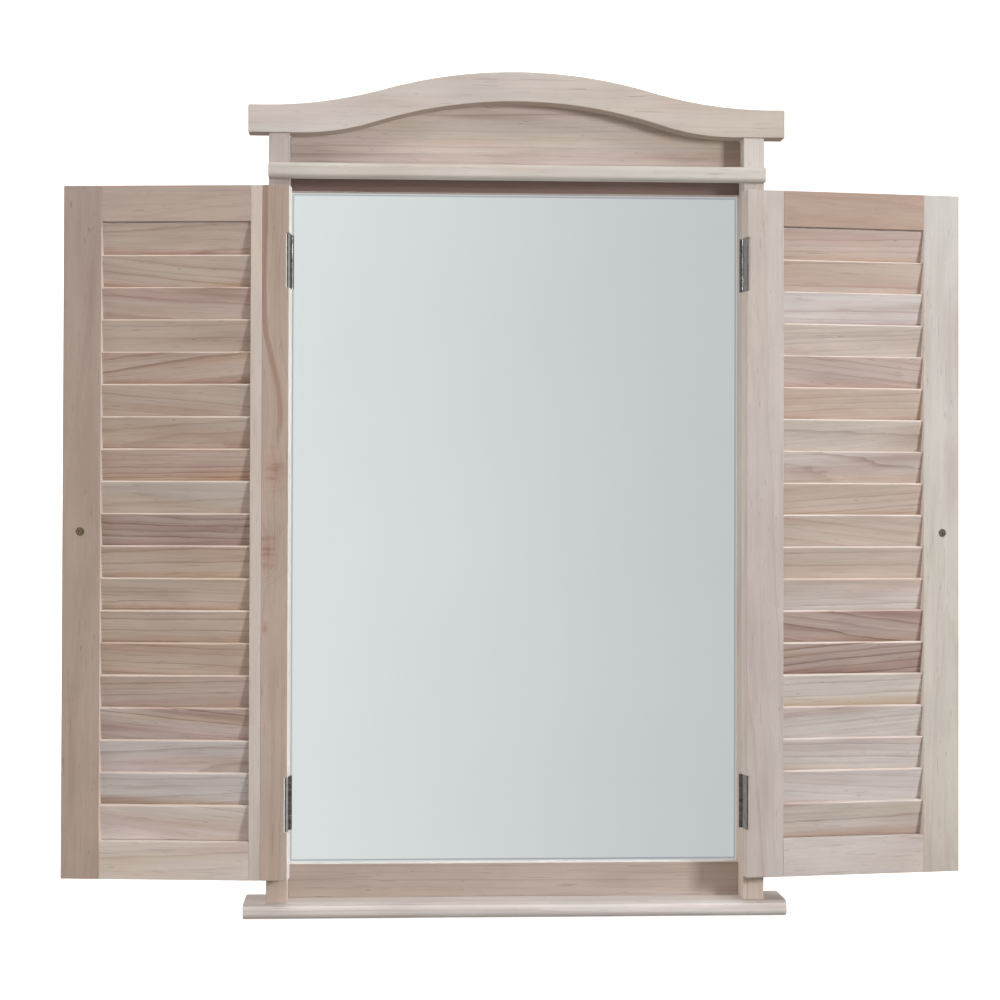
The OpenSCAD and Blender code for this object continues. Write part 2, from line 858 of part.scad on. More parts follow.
// Turned knob on the outer face: a tapered foot under a head with a rounded rim
module knob() {
    neck_r = knob_foot_r - knob_taper;
    rim_r = knob_head_t / 2;
    color(PALE_WOOD) translate([knob_u, outer_w, knob_z]) rotate([90, 0, 0]) difference() {
        union() {
            cylinder(h = knob_len - rim_r, r1 = knob_foot_r, r2 = neck_r);
            translate([0, 0, knob_len - knob_head_t]) rotate_extrude() {
                square([knob_r - rim_r, knob_head_t]);
                intersection() {
                    translate([knob_r - rim_r, rim_r]) circle(rim_r);
                    square([knob_r, knob_head_t]);
                }
            }
        }
        translate([0, 0, -shutter_t]) rotate([180, 0, 0]) screw_hole(knob_screw);
    }
}

module knob_screw_piece() {
    color(DARK_ZINC) translate([knob_u, inner_w, knob_z]) rotate([-90, 0, 0]) wood_screw(knob_screw);
}

module left_hinge_stile() {
    on_left_shutter() hinge_stile(edge_u, stile_u - strip_w);
}

module left_stile_strip() {
    on_left_shutter() hinge_stile(stile_u - strip_w, stile_u);
}

module left_free_stile() {
    on_left_shutter() free_stile();
}

module left_shutter_top_rail() {
    on_left_shutter() shutter_top_rail();
}

module left_shutter_bottom_rail() {
    on_left_shutter() shutter_bottom_rail();
}

module left_slats() {
    on_left_shutter() slats();
}

module left_shutter_dowels() {
    on_left_shutter() shutter_dowels();
}

module left_upper_shutter_leaf() {
    on_left_shutter() shutter_leaf(upper_hinge_z);
}

module left_lower_shutter_leaf() {
    on_left_shutter() shutter_leaf(lower_hinge_z);
}

module left_shutter_leaf_screws() {
    on_left_shutter() shutter_leaf_screws();
}

module left_knob() {
    on_left_shutter() knob();
}

module left_knob_screw() {
    on_left_shutter() knob_screw_piece();
}

module right_hinge_stile() {
    on_right_shutter() hinge_stile(edge_u, stile_u);
}

module right_free_stile() {
    on_right_shutter() free_stile();
}

module right_shutter_top_rail() {
    on_right_shutter() shutter_top_rail();
}

module right_shutter_bottom_rail() {
    on_right_shutter() shutter_bottom_rail();
}

module right_slats() {
    on_right_shutter() slats();
}

module right_shutter_dowels() {
    on_right_shutter() shutter_dowels();
}

module right_upper_shutter_leaf() {
    on_right_shutter() shutter_leaf(upper_hinge_z);
}

module right_lower_shutter_leaf() {
    on_right_shutter() shutter_leaf(lower_hinge_z);
}

module right_shutter_leaf_screws() {
    on_right_shutter() shutter_leaf_screws();
}

module right_knob() {
    on_right_shutter() knob();
}

module right_knob_screw() {
    on_right_shutter() knob_screw_piece();
}

sill();
left_post();
right_post();
bottom_rail();
top_rail();
batten();
cornice();
pediment_panel();
mirror_glass();
backing_board();
glazing_sprigs();
frame_dowels();
cornice_dowels();
batten_dowels();
sill_screws();
panel_nails();
left_hanger_plate();
right_hanger_plate();
hanger_screws();
left_upper_post_leaf();
left_lower_post_leaf();
right_upper_post_leaf();
right_lower_post_leaf();
left_upper_hinge_pin();
left_lower_hinge_pin();
right_upper_hinge_pin();
right_lower_hinge_pin();
left_post_leaf_screws();
right_post_leaf_screws();
left_hinge_stile();
left_stile_strip();
left_free_stile();
left_shutter_top_rail();
left_shutter_bottom_rail();
left_slats();
left_shutter_dowels();
left_upper_shutter_leaf();
left_lower_shutter_leaf();
left_shutter_leaf_screws();
left_knob();
left_knob_screw();
right_hinge_stile();
right_free_stile();
right_shutter_top_rail();
right_shutter_bottom_rail();
right_slats();
right_shutter_dowels();
right_upper_shutter_leaf();
right_lower_shutter_leaf();
right_shutter_leaf_screws();
right_knob();
right_knob_screw();
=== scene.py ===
import math
import random

import bpy
from mathutils import Matrix, Vector


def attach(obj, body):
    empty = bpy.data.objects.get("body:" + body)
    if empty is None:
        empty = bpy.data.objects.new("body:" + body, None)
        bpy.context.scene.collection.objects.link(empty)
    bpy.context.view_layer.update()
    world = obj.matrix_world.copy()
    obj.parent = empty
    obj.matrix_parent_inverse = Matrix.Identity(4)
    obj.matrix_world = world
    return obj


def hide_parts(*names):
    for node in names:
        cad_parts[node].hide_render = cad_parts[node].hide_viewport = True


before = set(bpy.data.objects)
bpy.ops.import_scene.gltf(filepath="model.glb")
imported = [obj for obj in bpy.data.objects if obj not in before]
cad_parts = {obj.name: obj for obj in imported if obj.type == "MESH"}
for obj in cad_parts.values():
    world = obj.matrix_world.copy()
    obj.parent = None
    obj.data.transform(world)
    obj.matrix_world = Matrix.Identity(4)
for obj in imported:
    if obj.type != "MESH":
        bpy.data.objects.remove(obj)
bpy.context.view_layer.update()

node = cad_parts
MM = 0.001

# Camera. It stands two metres in front of the mirror, a hand's width left of the middle and at
# half the mirror's height, and is turned a little to the right, with the lens of a long portrait.
LENS_PX, FRAME_PX = 2299.1, 1000
TURN, TILT, ROLL = -3.203, 90.77, 0.143
camera = bpy.data.objects.new("camera", bpy.data.cameras.new("camera"))
bpy.context.scene.collection.objects.link(camera)
camera.data.sensor_fit = "HORIZONTAL"
camera.data.lens = camera.data.sensor_width * LENS_PX / FRAME_PX
camera.data.shift_x = -0.0211
camera.data.shift_y = -0.0243
camera.data.clip_end = 50
camera.matrix_world = (
    Matrix.Translation((-0.10473, -1.97521, 0.34414))
    @ Matrix.Rotation(math.radians(TURN), 4, "Z")
    @ Matrix.Rotation(math.radians(TILT), 4, "X")
    @ Matrix.Rotation(math.radians(ROLL), 4, "Z")
)
bpy.context.scene.camera = camera
bpy.context.scene.view_settings.view_transform = "Standard"


# Studio. A white paper sweep lies under the mirror and rises behind it. A large pale card stands
# behind the camera for the mirror to look at. It glows, though it is no lamp, and its colours are
# the painted reflection the mirror shows. One softbox shines from the right, others from the
# left, from above and from behind, and warm white studio walls fill the shadows.
PAPER_WIDE, PAPER_LONG, PAPER_HIGH, PAPER_BEND, PAPER_BACK = 12, 9, 5, 1.5, 3
PAPER_TOP = -0.0004
CARD_PLACE, CARD_WIDE, CARD_HIGH = (0, -5.5, 0.6), 14, 9
MIDDLE = (0.0, 0.0, 0.33)


def linear(code, alpha=1.0):
    """The linear colour of an sRGB hex code."""
    parts = [int(code[k:k + 2], 16) / 255 for k in (1, 3, 5)]
    return [p / 12.92 if p <= 0.04045 else ((p + 0.055) / 1.055) ** 2.4 for p in parts] + [alpha]


def add(tree, kind, inputs=None, **settings):
    """Adds one node. Each of its inputs gets a value, or a link where the value is a socket or
    another node, which gives its first output in use. A Mix node's colours are inputs 6 and 7."""
    made = tree.nodes.new(kind)
    for key, value in settings.items():
        setattr(made, key, value)
    for key, value in (inputs or {}).items():
        if isinstance(value, bpy.types.Node):
            value = next(socket for socket in value.outputs if socket.enabled)
        if isinstance(value, bpy.types.NodeSocket):
            tree.links.new(value, made.inputs[key])
        else:
            made.inputs[key].default_value = value
    return made


def start_material(name):
    """An empty material and the tree of its nodes."""
    material = bpy.data.materials.new(name)
    material.use_nodes = True
    material.node_tree.nodes.clear()
    return material, material.node_tree


def deselect():
    """Leaves nothing selected, since an operator acts on all that is."""
    bpy.ops.object.select_all(action="DESELECT")


def white_paper():
    """Seamless white background paper, evenly lit: matt, and its tone drifts by three percent over
    about sixty centimetres."""
    material, tree = start_material("seamless_white_paper")
    place = add(tree, "ShaderNodeTexCoord").outputs["Object"]
    cloud = add(tree, "ShaderNodeTexNoise", {"Vector": place, "Scale": 1.6, "Detail": 2.0})
    shade = add(tree, "ShaderNodeMapRange", {"Value": cloud, "To Min": 0.97, "To Max": 1.0})
    colour = add(tree, "ShaderNodeVectorMath", {0: linear("#F6F5F3")[:3], "Scale": shade},
                 operation="SCALE")
    paper = add(tree, "ShaderNodeBsdfPrincipled", {
        "Base Color": colour, "Roughness": 0.9, "Specular IOR Level": 0.1,
        "Emission Color": colour, "Emission Strength": 0.72})
    add(tree, "ShaderNodeOutputMaterial", {"Surface": paper})
    return material


def glowing_reflection_card():
    """A card that glows, though it is no lamp, seen only in the mirror as a painted reflection:
    pale blue-green on the left and greyer to the right, with soft clouds about a metre wide."""
    material, tree = start_material("glowing_painted_reflection_card")
    place = add(tree, "ShaderNodeTexCoord").outputs["Object"]
    cloud = add(tree, "ShaderNodeTexNoise", {"Vector": place, "Scale": 0.9, "Detail": 1.0})
    across = add(tree, "ShaderNodeSeparateXYZ", {0: place}).outputs["X"]
    wander = add(tree, "ShaderNodeMath", {0: cloud, 1: 0.35, 2: across}, operation="MULTIPLY_ADD")
    spray = add(tree, "ShaderNodeMapRange", {"Value": wander, "From Min": -0.5, "From Max": 1.4},
                interpolation_type="SMOOTHSTEP")
    colour = add(tree, "ShaderNodeMix", {0: spray, 6: linear("#F0F3F3"), 7: linear("#D3D5D8")},
                 data_type="RGBA")
    glow = add(tree, "ShaderNodeEmission", {"Color": colour, "Strength": 1.08})
    add(tree, "ShaderNodeOutputMaterial", {"Surface": glow})
    return material


def area_lamp(name, place, aim, width, height, watts, code):
    """A rectangular softbox at a place, turned towards a point."""
    lamp = bpy.data.objects.new(name, bpy.data.lights.new(name, "AREA"))
    bpy.context.scene.collection.objects.link(lamp)
    lamp.data.shape = "RECTANGLE"
    lamp.data.size, lamp.data.size_y = width, height
    lamp.data.energy = watts
    lamp.data.color = linear(code)[:3]
    lamp.location = place
    lamp.rotation_euler = (Vector(aim) - Vector(place)).to_track_quat("-Z", "Y").to_euler()


deselect()
bpy.ops.mesh.primitive_plane_add(size=1, location=(0, PAPER_BACK - PAPER_LONG / 2, PAPER_TOP))
sweep = bpy.context.object
sweep.name = "paper_sweep"
sweep.scale = (PAPER_WIDE, PAPER_LONG, 1)
bpy.ops.object.transform_apply(location=True, scale=True)
bpy.ops.object.mode_set(mode="EDIT")
bpy.ops.mesh.select_all(action="DESELECT")
bpy.ops.object.mode_set(mode="OBJECT")
for edge in sweep.data.edges:
    edge.select = all(sweep.data.vertices[v].co.y > PAPER_BACK - 0.1 for v in edge.vertices)
bpy.ops.object.mode_set(mode="EDIT")
bpy.ops.mesh.select_mode(type="EDGE")
bpy.ops.mesh.extrude_region_move(TRANSFORM_OT_translate={"value": (0, 0, PAPER_HIGH)})
bpy.ops.object.mode_set(mode="OBJECT")
for edge in sweep.data.edges:
    ends = [sweep.data.vertices[v].co for v in edge.vertices]
    edge.select = all(abs(co.y - PAPER_BACK) < 0.01 and co.z < 0.1 for co in ends)
bpy.ops.object.mode_set(mode="EDIT")
bpy.ops.mesh.bevel(offset=PAPER_BEND, segments=24, affect="EDGES")
bpy.ops.mesh.select_all(action="SELECT")
bpy.ops.mesh.normals_make_consistent(inside=False)
bpy.ops.object.mode_set(mode="OBJECT")
bpy.ops.object.shade_smooth()
sweep.data.materials.append(white_paper())
sweep.visible_diffuse = sweep.visible_glossy = False

deselect()
bpy.ops.mesh.primitive_plane_add(size=1, location=CARD_PLACE, rotation=(-math.pi / 2, 0, 0))
card = bpy.context.object
card.name = "grey_card"
card.scale = (CARD_WIDE, CARD_HIGH, 1)
bpy.ops.object.transform_apply(location=True, rotation=True, scale=True)
card.data.materials.append(glowing_reflection_card())
card.visible_camera = card.visible_diffuse = card.visible_shadow = False

area_lamp("key_lamp", (1.80, -1.95, 0.80), MIDDLE, 0.45, 0.45, 41, "#FBFCFF")
area_lamp("fill_lamp", (-2.6, -1.1, 0.7), MIDDLE, 1.8, 1.6, 21, "#FFFAF5")
area_lamp("top_lamp", (0.3, -1.2, 2.5), (0.0, 0.0, 0.30), 1.6, 1.2, 28.5, "#FFFEFC")
area_lamp("back_lamp", (-1.3, 2.1, 1.9), MIDDLE, 1.6, 1.2, 48, "#FFFDFB")
for name in ("fill_lamp", "back_lamp"):
    bpy.data.objects[name].visible_glossy = False

# The studio's walls light the wood, a little warm; the eye and the steel see them bright and white
world = bpy.data.worlds.new("studio")
bpy.context.scene.world = world
world.use_nodes = True
sky = world.node_tree
place = add(sky, "ShaderNodeTexCoord").outputs["Generated"]
upward = add(sky, "ShaderNodeSeparateXYZ", {0: place}).outputs["Z"]
glow = add(sky, "ShaderNodeMapRange", {
    "Value": upward, "From Min": -0.2, "From Max": 0.9, "To Min": 0.255, "To Max": 0.265},
    interpolation_type="SMOOTHSTEP")
ray = add(sky, "ShaderNodeLightPath").outputs
seen = add(sky, "ShaderNodeMath", {0: ray["Is Camera Ray"], 1: ray["Is Glossy Ray"]},
           operation="MAXIMUM")
walls = add(sky, "ShaderNodeBackground", {"Color": linear("#FFF4EA"), "Strength": glow})
bright = add(sky, "ShaderNodeBackground", {"Color": linear("#FBFCFC"), "Strength": 1.0})
around = add(sky, "ShaderNodeMixShader", {0: seen, 1: walls, 2: bright})
sky.links.new(around.outputs[0], sky.nodes["World Output"].inputs["Surface"])


# Posts. Two uprights of raw, sanded paulownia, rebated behind for the glass and let in for the
# hanger plates. Every board carries its place in the log as the attribute board, its tint as tone
# and its rings' spacing as ring, so that one material draws all wood but the knotty hinge stile.
HALF_OPENING, POST_OUT, POST_FRONT, POST_TOP, SILL_TOP = 191.5, 209, -45, 657, 13
REBATE, REBATE_LOW, REBATE_HIGH = 7, 34.5, 618.5
PLATE_X, PLATE_HALF, PLATE_DEEP, PLATE_LOW, PLATE_HIGH = 200.25, 6.55, 1.5, 623.95, 656.05
POCKET_R, POCKET_LONG, POCKET_Y, POCKET_Z = 5, 9, -3, 636
PAST = 2  # how far a cutting tool reaches past a face


def raw_paulownia(name, knots=(), sway=(), streak=()):
    """Raw paulownia, machine sanded: pale greige with pink and grey drift, soft growth rings a few
    millimetres apart that darken towards the latewood, and short pores; matt all over. The pores
    and the fibres are drawn about a millimetre wide, coarser than the real ones, so that they show.
    A knot is its place along and across the board and its half width. sway is how far the grain
    strays across the board at places along it. streak is a darker line: its place across the
    board, its full and its outer half width, and where along the board it begins and is full.
    All of them are in millimetres."""
    material, tree = start_material(name)
    board = add(tree, "ShaderNodeAttribute", attribute_name="board").outputs["Vector"]
    tone = add(tree, "ShaderNodeAttribute", attribute_name="tone")
    spacing = add(tree, "ShaderNodeAttribute", attribute_name="ring").outputs["Fac"]
    end = add(tree, "ShaderNodeAttribute", attribute_name="end").outputs["Fac"]
    stain = add(tree, "ShaderNodeAttribute", attribute_name="stain")

    def streaked(along, across, detail=2.0, rough=0.5, what="Fac"):
        """Noise drawn out along the grain, with its wavelengths in millimetres."""
        scaled = add(tree, "ShaderNodeVectorMath", {
            0: board, 1: (1000 / along, 1000 / across, 1000 / across)}, operation="MULTIPLY")
        return add(tree, "ShaderNodeTexNoise", {
            "Vector": scaled, "Scale": 1.0, "Detail": detail, "Roughness": rough}).outputs[what]

    # The log bends a little along the board, its fibres wave, and a knotty board's grain strays
    place = board
    for along, across, detail, rough, aside in ((260, 40, 2.0, 0.5, 6), (48, 9, 3.0, 0.6, 2.8)):
        stray = add(tree, "ShaderNodeVectorMath", {
            0: streaked(along, across, detail, rough, "Color"), 1: (0.5, 0.5, 0.5)},
            operation="SUBTRACT")
        stray = add(tree, "ShaderNodeVectorMath", {0: stray, 1: (0.0, aside * MM, aside * MM)},
                    operation="MULTIPLY")
        place = add(tree, "ShaderNodeVectorMath", {0: place, 1: stray})
    if sway:
        board_long, full_sway = 650, 40
        run = add(tree, "ShaderNodeSeparateXYZ", {0: board}).outputs["X"]
        part = add(tree, "ShaderNodeMath", {0: run, 1: 1000 / board_long}, operation="MULTIPLY")
        curve = add(tree, "ShaderNodeFloatCurve", {"Value": part})
        points = curve.mapping.curves[0].points
        for k, (along, shift) in enumerate(sway):
            spot = (along / board_long, shift / full_sway + 0.5)
            if k < 2:
                points[k].location = spot
            else:
                points.new(*spot)
        curve.mapping.update()
        aside = add(tree, "ShaderNodeMapRange", {
            "Value": curve, "To Min": full_sway / 2 * MM, "To Max": -full_sway / 2 * MM})
        aside = add(tree, "ShaderNodeCombineXYZ", {1: aside})
        place = add(tree, "ShaderNodeVectorMath", {0: place, 1: aside})

    # Round each knot the rings swing aside
    eye = curl = 0.0
    for along, across, half in knots:
        off = add(tree, "ShaderNodeVectorMath", {0: board, 1: (along * MM, across * MM, 0)},
                  operation="SUBTRACT")
        off = add(tree, "ShaderNodeVectorMath", {0: off, 1: (0.45, 1.0, 0.0)},
                  operation="MULTIPLY")
        far = add(tree, "ShaderNodeVectorMath", {0: off}, operation="LENGTH")
        near, core = (
            add(tree, "ShaderNodeMapRange", {"Value": far, "From Min": half * wide * MM,
                                             "From Max": 0.0}, interpolation_type="SMOOTHSTEP")
            for wide in (2.6, 0.75))
        push = add(tree, "ShaderNodeVectorMath", {0: (0.0, 0.0, half * 1.6 * MM), "Scale": near},
                   operation="SCALE")
        place = add(tree, "ShaderNodeVectorMath", {0: place, 1: push})
        eye = add(tree, "ShaderNodeMath", {0: eye, 1: core}, operation="MAXIMUM")
        curl = add(tree, "ShaderNodeMath", {0: curl, 1: near}, operation="MAXIMUM")

    # Growth rings lie round the pith, which runs at a small angle to the board
    split = add(tree, "ShaderNodeSeparateXYZ", {0: place})
    lean = add(tree, "ShaderNodeMath", {0: split.outputs["X"], 1: 0.03}, operation="MULTIPLY")
    depth = add(tree, "ShaderNodeMath", {0: split.outputs["Z"], 1: lean}, operation="ADD")
    from_pith = add(tree, "ShaderNodeCombineXYZ", {0: 0.0, 1: split.outputs["Y"], 2: depth})
    radius = add(tree, "ShaderNodeVectorMath", {0: from_pith}, operation="LENGTH")
    count = add(tree, "ShaderNodeMath", {0: radius, 1: spacing}, operation="DIVIDE")
    uneven = add(tree, "ShaderNodeMath", {0: streaked(300, 60), 1: 1.1}, operation="MULTIPLY")
    count = add(tree, "ShaderNodeMath", {0: count, 1: uneven}, operation="ADD")
    phase = add(tree, "ShaderNodeMath", {0: count}, operation="FRACT")
    year = add(tree, "ShaderNodeMath", {0: count}, operation="FLOOR")
    vigour = add(tree, "ShaderNodeTexWhiteNoise", {"W": year}, noise_dimensions="1D")

    # In a year the wood darkens slowly, then fast, and ends sharply; some years are stronger
    slow, fast, close, early = (
        add(tree, "ShaderNodeMapRange", {"Value": phase, "From Min": low, "From Max": high},
            interpolation_type="SMOOTHSTEP")
        for low, high in ((0.20, 0.90), (0.70, 0.97), (1.0, 0.97), (0.45, 0.05)))
    strong = add(tree, "ShaderNodeMapRange", {"Value": vigour.outputs["Value"], "To Min": 0.10},
                 interpolation_type="SMOOTHSTEP")
    late = add(tree, "ShaderNodeMath", {0: slow, 1: 0.30}, operation="MULTIPLY")
    late = add(tree, "ShaderNodeMath", {0: fast, 1: late}, operation="ADD")
    for share in (close, strong, tone.outputs["Alpha"]):
        late = add(tree, "ShaderNodeMath", {0: late, 1: share}, operation="MULTIPLY")
    drift = add(tree, "ShaderNodeMapRange", {
        "Value": tone.outputs["Alpha"], "From Max": 0.8, "To Min": 0.25},
        interpolation_type="SMOOTHSTEP")

    # The board's tone drifts to pink, to gold and to grey, then come the rings and the stain
    tints = []
    for code, along, across, detail, low, high in (
            ("#F4E6E4", 300, 24, 2.0, 0.45, 0.70), ("#F6EDE0", 240, 20, 2.0, 0.48, 0.72),
            ("#EAE4E2", 150, 12, 3.0, 0.50, 0.72)):
        cloud = add(tree, "ShaderNodeMapRange", {
            "Value": streaked(along, across, detail), "From Min": low, "From Max": high},
            interpolation_type="SMOOTHSTEP")
        cloud = add(tree, "ShaderNodeMath", {0: drift, 1: cloud}, operation="MULTIPLY")
        tints.append((linear(code), cloud))
    tints.append((linear("#CFBFB5"), late))
    ragged = add(tree, "ShaderNodeMath", {0: streaked(90, 8), 1: 0.5}, operation="MULTIPLY")
    ragged = add(tree, "ShaderNodeMath", {0: stain.outputs["Alpha"], 1: ragged}, operation="ADD")
    stained = add(tree, "ShaderNodeMapRange", {
        "Value": ragged, "From Min": 0.85, "From Max": 1.32}, interpolation_type="SMOOTHSTEP")
    tints.append((stain.outputs["Color"], stained))
    if knots:
        stripes = add(tree, "ShaderNodeMapRange", {
            "Value": streaked(4.5, 30), "From Min": 0.45, "From Max": 0.65},
            interpolation_type="SMOOTHSTEP")
        stripes = add(tree, "ShaderNodeMath", {0: curl, 1: stripes}, operation="MULTIPLY")
        dim = add(tree, "ShaderNodeMath", {0: eye, 1: 0.20}, operation="MULTIPLY")
        tints += [(linear("#B7A297"), dim), (linear("#F5E8E3"), curl),
                  (linear("#E9E0DA"), stripes)]
    if streak:
        middle, full_half, outer_half, begins, full = (value * MM for value in streak)
        beside = add(tree, "ShaderNodeMath", {0: split.outputs["Y"], 1: middle},
                     operation="SUBTRACT")
        beside = add(tree, "ShaderNodeMath", {0: beside}, operation="ABSOLUTE")
        within_line, along_line = (
            add(tree, "ShaderNodeMapRange", {"Value": value, "From Min": low, "From Max": high},
                interpolation_type="SMOOTHSTEP")
            for value, low, high in ((beside, outer_half, full_half), (run, begins, full)))
        line = add(tree, "ShaderNodeMath", {0: within_line, 1: along_line}, operation="MULTIPLY")
        tints.append((linear("#E8D8D2"), line))

    # Fibres, threads and the lines within a ring lighten and darken it; pores and flecks darken
    fibre, thread = streaked(38, 1.3, 3.0, 0.65), streaked(150, 2.8, 3.0, 0.6)
    lines_mm = 0.9
    lines = add(tree, "ShaderNodeMath", {0: radius, 1: 1000 / lines_mm}, operation="MULTIPLY")
    lines = add(tree, "ShaderNodeTexNoise", {"W": lines, "Scale": 1.0, "Detail": 1.0},
                noise_dimensions="1D")
    grey = 0.0
    for pattern, low, high, darkest, lightest in (
            (fibre, 0.39, 0.60, -0.055, 0.035), (thread, 0.39, 0.60, -0.035, 0.025),
            (lines, 0.38, 0.62, -0.035, 0.025)):
        shade = add(tree, "ShaderNodeMapRange", {
            "Value": pattern, "From Min": low, "From Max": high, "To Min": darkest,
            "To Max": lightest}, interpolation_type="SMOOTHSTEP")
        grey = add(tree, "ShaderNodeMath", {0: grey, 1: shade}, operation="ADD")
    grey = add(tree, "ShaderNodeMath", {0: grey, 1: drift}, operation="MULTIPLY")
    shade = add(tree, "ShaderNodeMapRange", {
        "Value": streaked(75, 26, 3.0), "From Min": 0.30, "From Max": 0.70, "To Min": 0.95,
        "To Max": 1.05}, interpolation_type="SMOOTHSTEP")
    grey = add(tree, "ShaderNodeMath", {0: grey, 1: shade}, operation="ADD")
    pores = add(tree, "ShaderNodeMapRange", {
        "Value": streaked(12, 0.9, 1.0), "From Min": 0.60, "From Max": 0.70},
        interpolation_type="SMOOTHSTEP")
    in_early = add(tree, "ShaderNodeMapRange", {"Value": early, "To Min": 0.35},
                   interpolation_type="SMOOTHSTEP")
    pores = add(tree, "ShaderNodeMath", {0: pores, 1: in_early}, operation="MULTIPLY")
    for pattern, low, high, darkest in (
            (pores, 0.0, 1.0, 0.89), (streaked(30, 1.3, 0.0), 0.76, 0.80, 0.80),
            (streaked(10, 1.7, 0.0), 0.81, 0.85, 0.76), (end, 0.0, 1.0, 0.84)):
        shade = add(tree, "ShaderNodeMapRange", {
            "Value": pattern, "From Min": low, "From Max": high, "To Min": 1.0,
            "To Max": darkest}, interpolation_type="SMOOTHSTEP")
        grey = add(tree, "ShaderNodeMath", {0: grey, 1: shade}, operation="MULTIPLY")

    colour = tone.outputs["Color"]
    for tint, amount in tints:
        colour = add(tree, "ShaderNodeMix", {0: amount, 6: colour, 7: tint}, data_type="RGBA",
                     blend_type="MULTIPLY")
    colour = add(tree, "ShaderNodeVectorMath", {0: colour, "Scale": grey}, operation="SCALE")
    sunk = add(tree, "ShaderNodeMath", {0: pores, 1: -0.7}, operation="MULTIPLY")
    height = add(tree, "ShaderNodeMath", {0: fibre, 1: sunk}, operation="ADD")
    bump = add(tree, "ShaderNodeBump", {"Height": height, "Strength": 0.55, "Distance": 0.00012})
    rough = add(tree, "ShaderNodeMapRange", {
        "Value": fibre, "From Min": 0.2, "From Max": 0.8, "To Min": 0.60, "To Max": 0.74},
        interpolation_type="SMOOTHSTEP")
    sanded = add(tree, "ShaderNodeBsdfPrincipled", {
        "Base Color": colour, "Roughness": rough, "Specular IOR Level": 0.28, "Normal": bump})
    add(tree, "ShaderNodeOutputMaterial", {"Surface": sanded})
    return material


wood = raw_paulownia("raw_paulownia")
GRAIN = {"x": (0, 2, 1), "z": (2, 0, 1)}  # the axes along, across and through a board
drawn = random.Random(11)


def mill(piece, grain, code, lines, ring_mm, log, slope=0.0, stain=None, other=None):
    """Gives a board its place in the log: how far along it lies, and how far from the pith across
    and through the board, in millimetres, with its tone, the strength of its rings and their
    spacing. grain is the axis that the fibres follow, and slope how fast they run out across the
    board. code is the tone, or a pair of them for the two ends of the grain. stain tints the
    board's lower edge, and other is a test of a face with the tone of the faces that pass it."""
    mesh = piece.data
    axes = GRAIN[grain]

    def write(name, kind, domain, field, values):
        mesh.attributes.new(name, kind, domain)
        mesh.attributes[name].data.foreach_set(field, values)

    write("board", "FLOAT_VECTOR", "POINT", "vector",
          [vertex.co[axes[k]] + log[k] * MM + (slope * vertex.co[axes[0]] if k == 1 else 0.0)
           for vertex in mesh.vertices for k in range(3)])
    near, far = (linear(end, lines) for end in ((code, code) if isinstance(code, str) else code))
    along = [vertex.co[axes[0]] for vertex in mesh.vertices]
    tones = []
    # A face that passes other's test takes its tone: mostly painted light or shade on the faces
    # turned one way, and once the tone of a glued-on board.
    for face in mesh.polygons:
        if other is not None and other[0](face):
            tones += linear(other[1], lines) * face.loop_total
            continue
        for v in face.vertices:
            part = (along[v] - min(along)) / (max(along) - min(along))
            tones += [a + (b - a) * part for a, b in zip(near, far)]
    write("tone", "FLOAT_COLOR", "CORNER", "color", tones)
    heights = [vertex.co.z for vertex in mesh.vertices]
    middle = (min(heights) + max(heights)) / 2
    tint = linear(stain or "#FFFFFF")[:3]
    write("stain", "FLOAT_COLOR", "POINT", "color",
          [v for z in heights for v in (*tint, float(stain is not None and z < middle))])
    write("ring", "FLOAT", "POINT", "value", [ring_mm * MM] * len(mesh.vertices))
    ends = [0.0] * len(mesh.loops)
    for face in mesh.polygons:
        for k in face.loop_indices:
            ends[k] = float(abs(face.normal[axes[0]]) > 0.8)
    write("end", "FLOAT", "CORNER", "value", ends)
    mesh.materials.clear()
    mesh.materials.append(wood)


def block(name, low, high):
    """A square block between two corners, in millimetres."""
    deselect()
    size = [(high[k] - low[k]) * MM for k in range(3)]
    middle = [(high[k] + low[k]) / 2 * MM for k in range(3)]
    bpy.ops.mesh.primitive_cube_add(size=1, location=middle)
    piece = bpy.context.object
    piece.name = piece.data.name = name
    piece.scale = size
    bpy.ops.object.transform_apply(location=True, scale=True)
    return piece


def ease(piece, radius, segments=2, pick=None):
    """Rounds the edges that pick chooses by their two ends, or all of them."""
    deselect()
    piece.select_set(True)
    bpy.context.view_layer.objects.active = piece
    points = piece.data.vertices
    for vertex in points:
        vertex.select = False
    for face in piece.data.polygons:
        face.select = False
    for edge in piece.data.edges:
        a, b = (points[v].co / MM for v in edge.vertices)
        edge.select = pick is None or bool(pick(a, b))
    bpy.ops.object.mode_set(mode="EDIT")
    bpy.ops.mesh.select_mode(type="EDGE")
    bpy.ops.mesh.bevel(offset=radius * MM, segments=segments, affect="EDGES", clamp_overlap=False)
    bpy.ops.object.mode_set(mode="OBJECT")


def cut(piece, *tools):
    """Takes the tools' shapes out of the piece."""
    for tool in tools:
        change = piece.modifiers.new("cut", "BOOLEAN")
        change.object = tool
        change.operation = "DIFFERENCE"
        change.solver = "EXACT"
        bpy.context.view_layer.objects.active = piece
        bpy.ops.object.modifier_apply(modifier=change.name)
        bpy.data.objects.remove(tool)


def settle(piece, body, slot, *nodes):
    """The piece rides on a body in place of its nodes. Mirror and steel show only the studio, as
    in the photo, and no piece of the frame."""
    piece.visible_glossy = False
    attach(piece, body)
    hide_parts(*nodes)


def drill(name, back_radius, front_radius, long, place):
    """A round cutting tool that points to the viewer, centred on a place, in millimetres."""
    deselect()
    bpy.ops.mesh.primitive_cone_add(
        vertices=32, radius1=back_radius * MM, radius2=front_radius * MM, depth=long * MM,
        location=[c * MM for c in place], rotation=(math.pi / 2, 0, 0))
    piece = bpy.context.object
    piece.name = piece.data.name = name
    bpy.ops.object.transform_apply(location=True, rotation=True)
    return piece
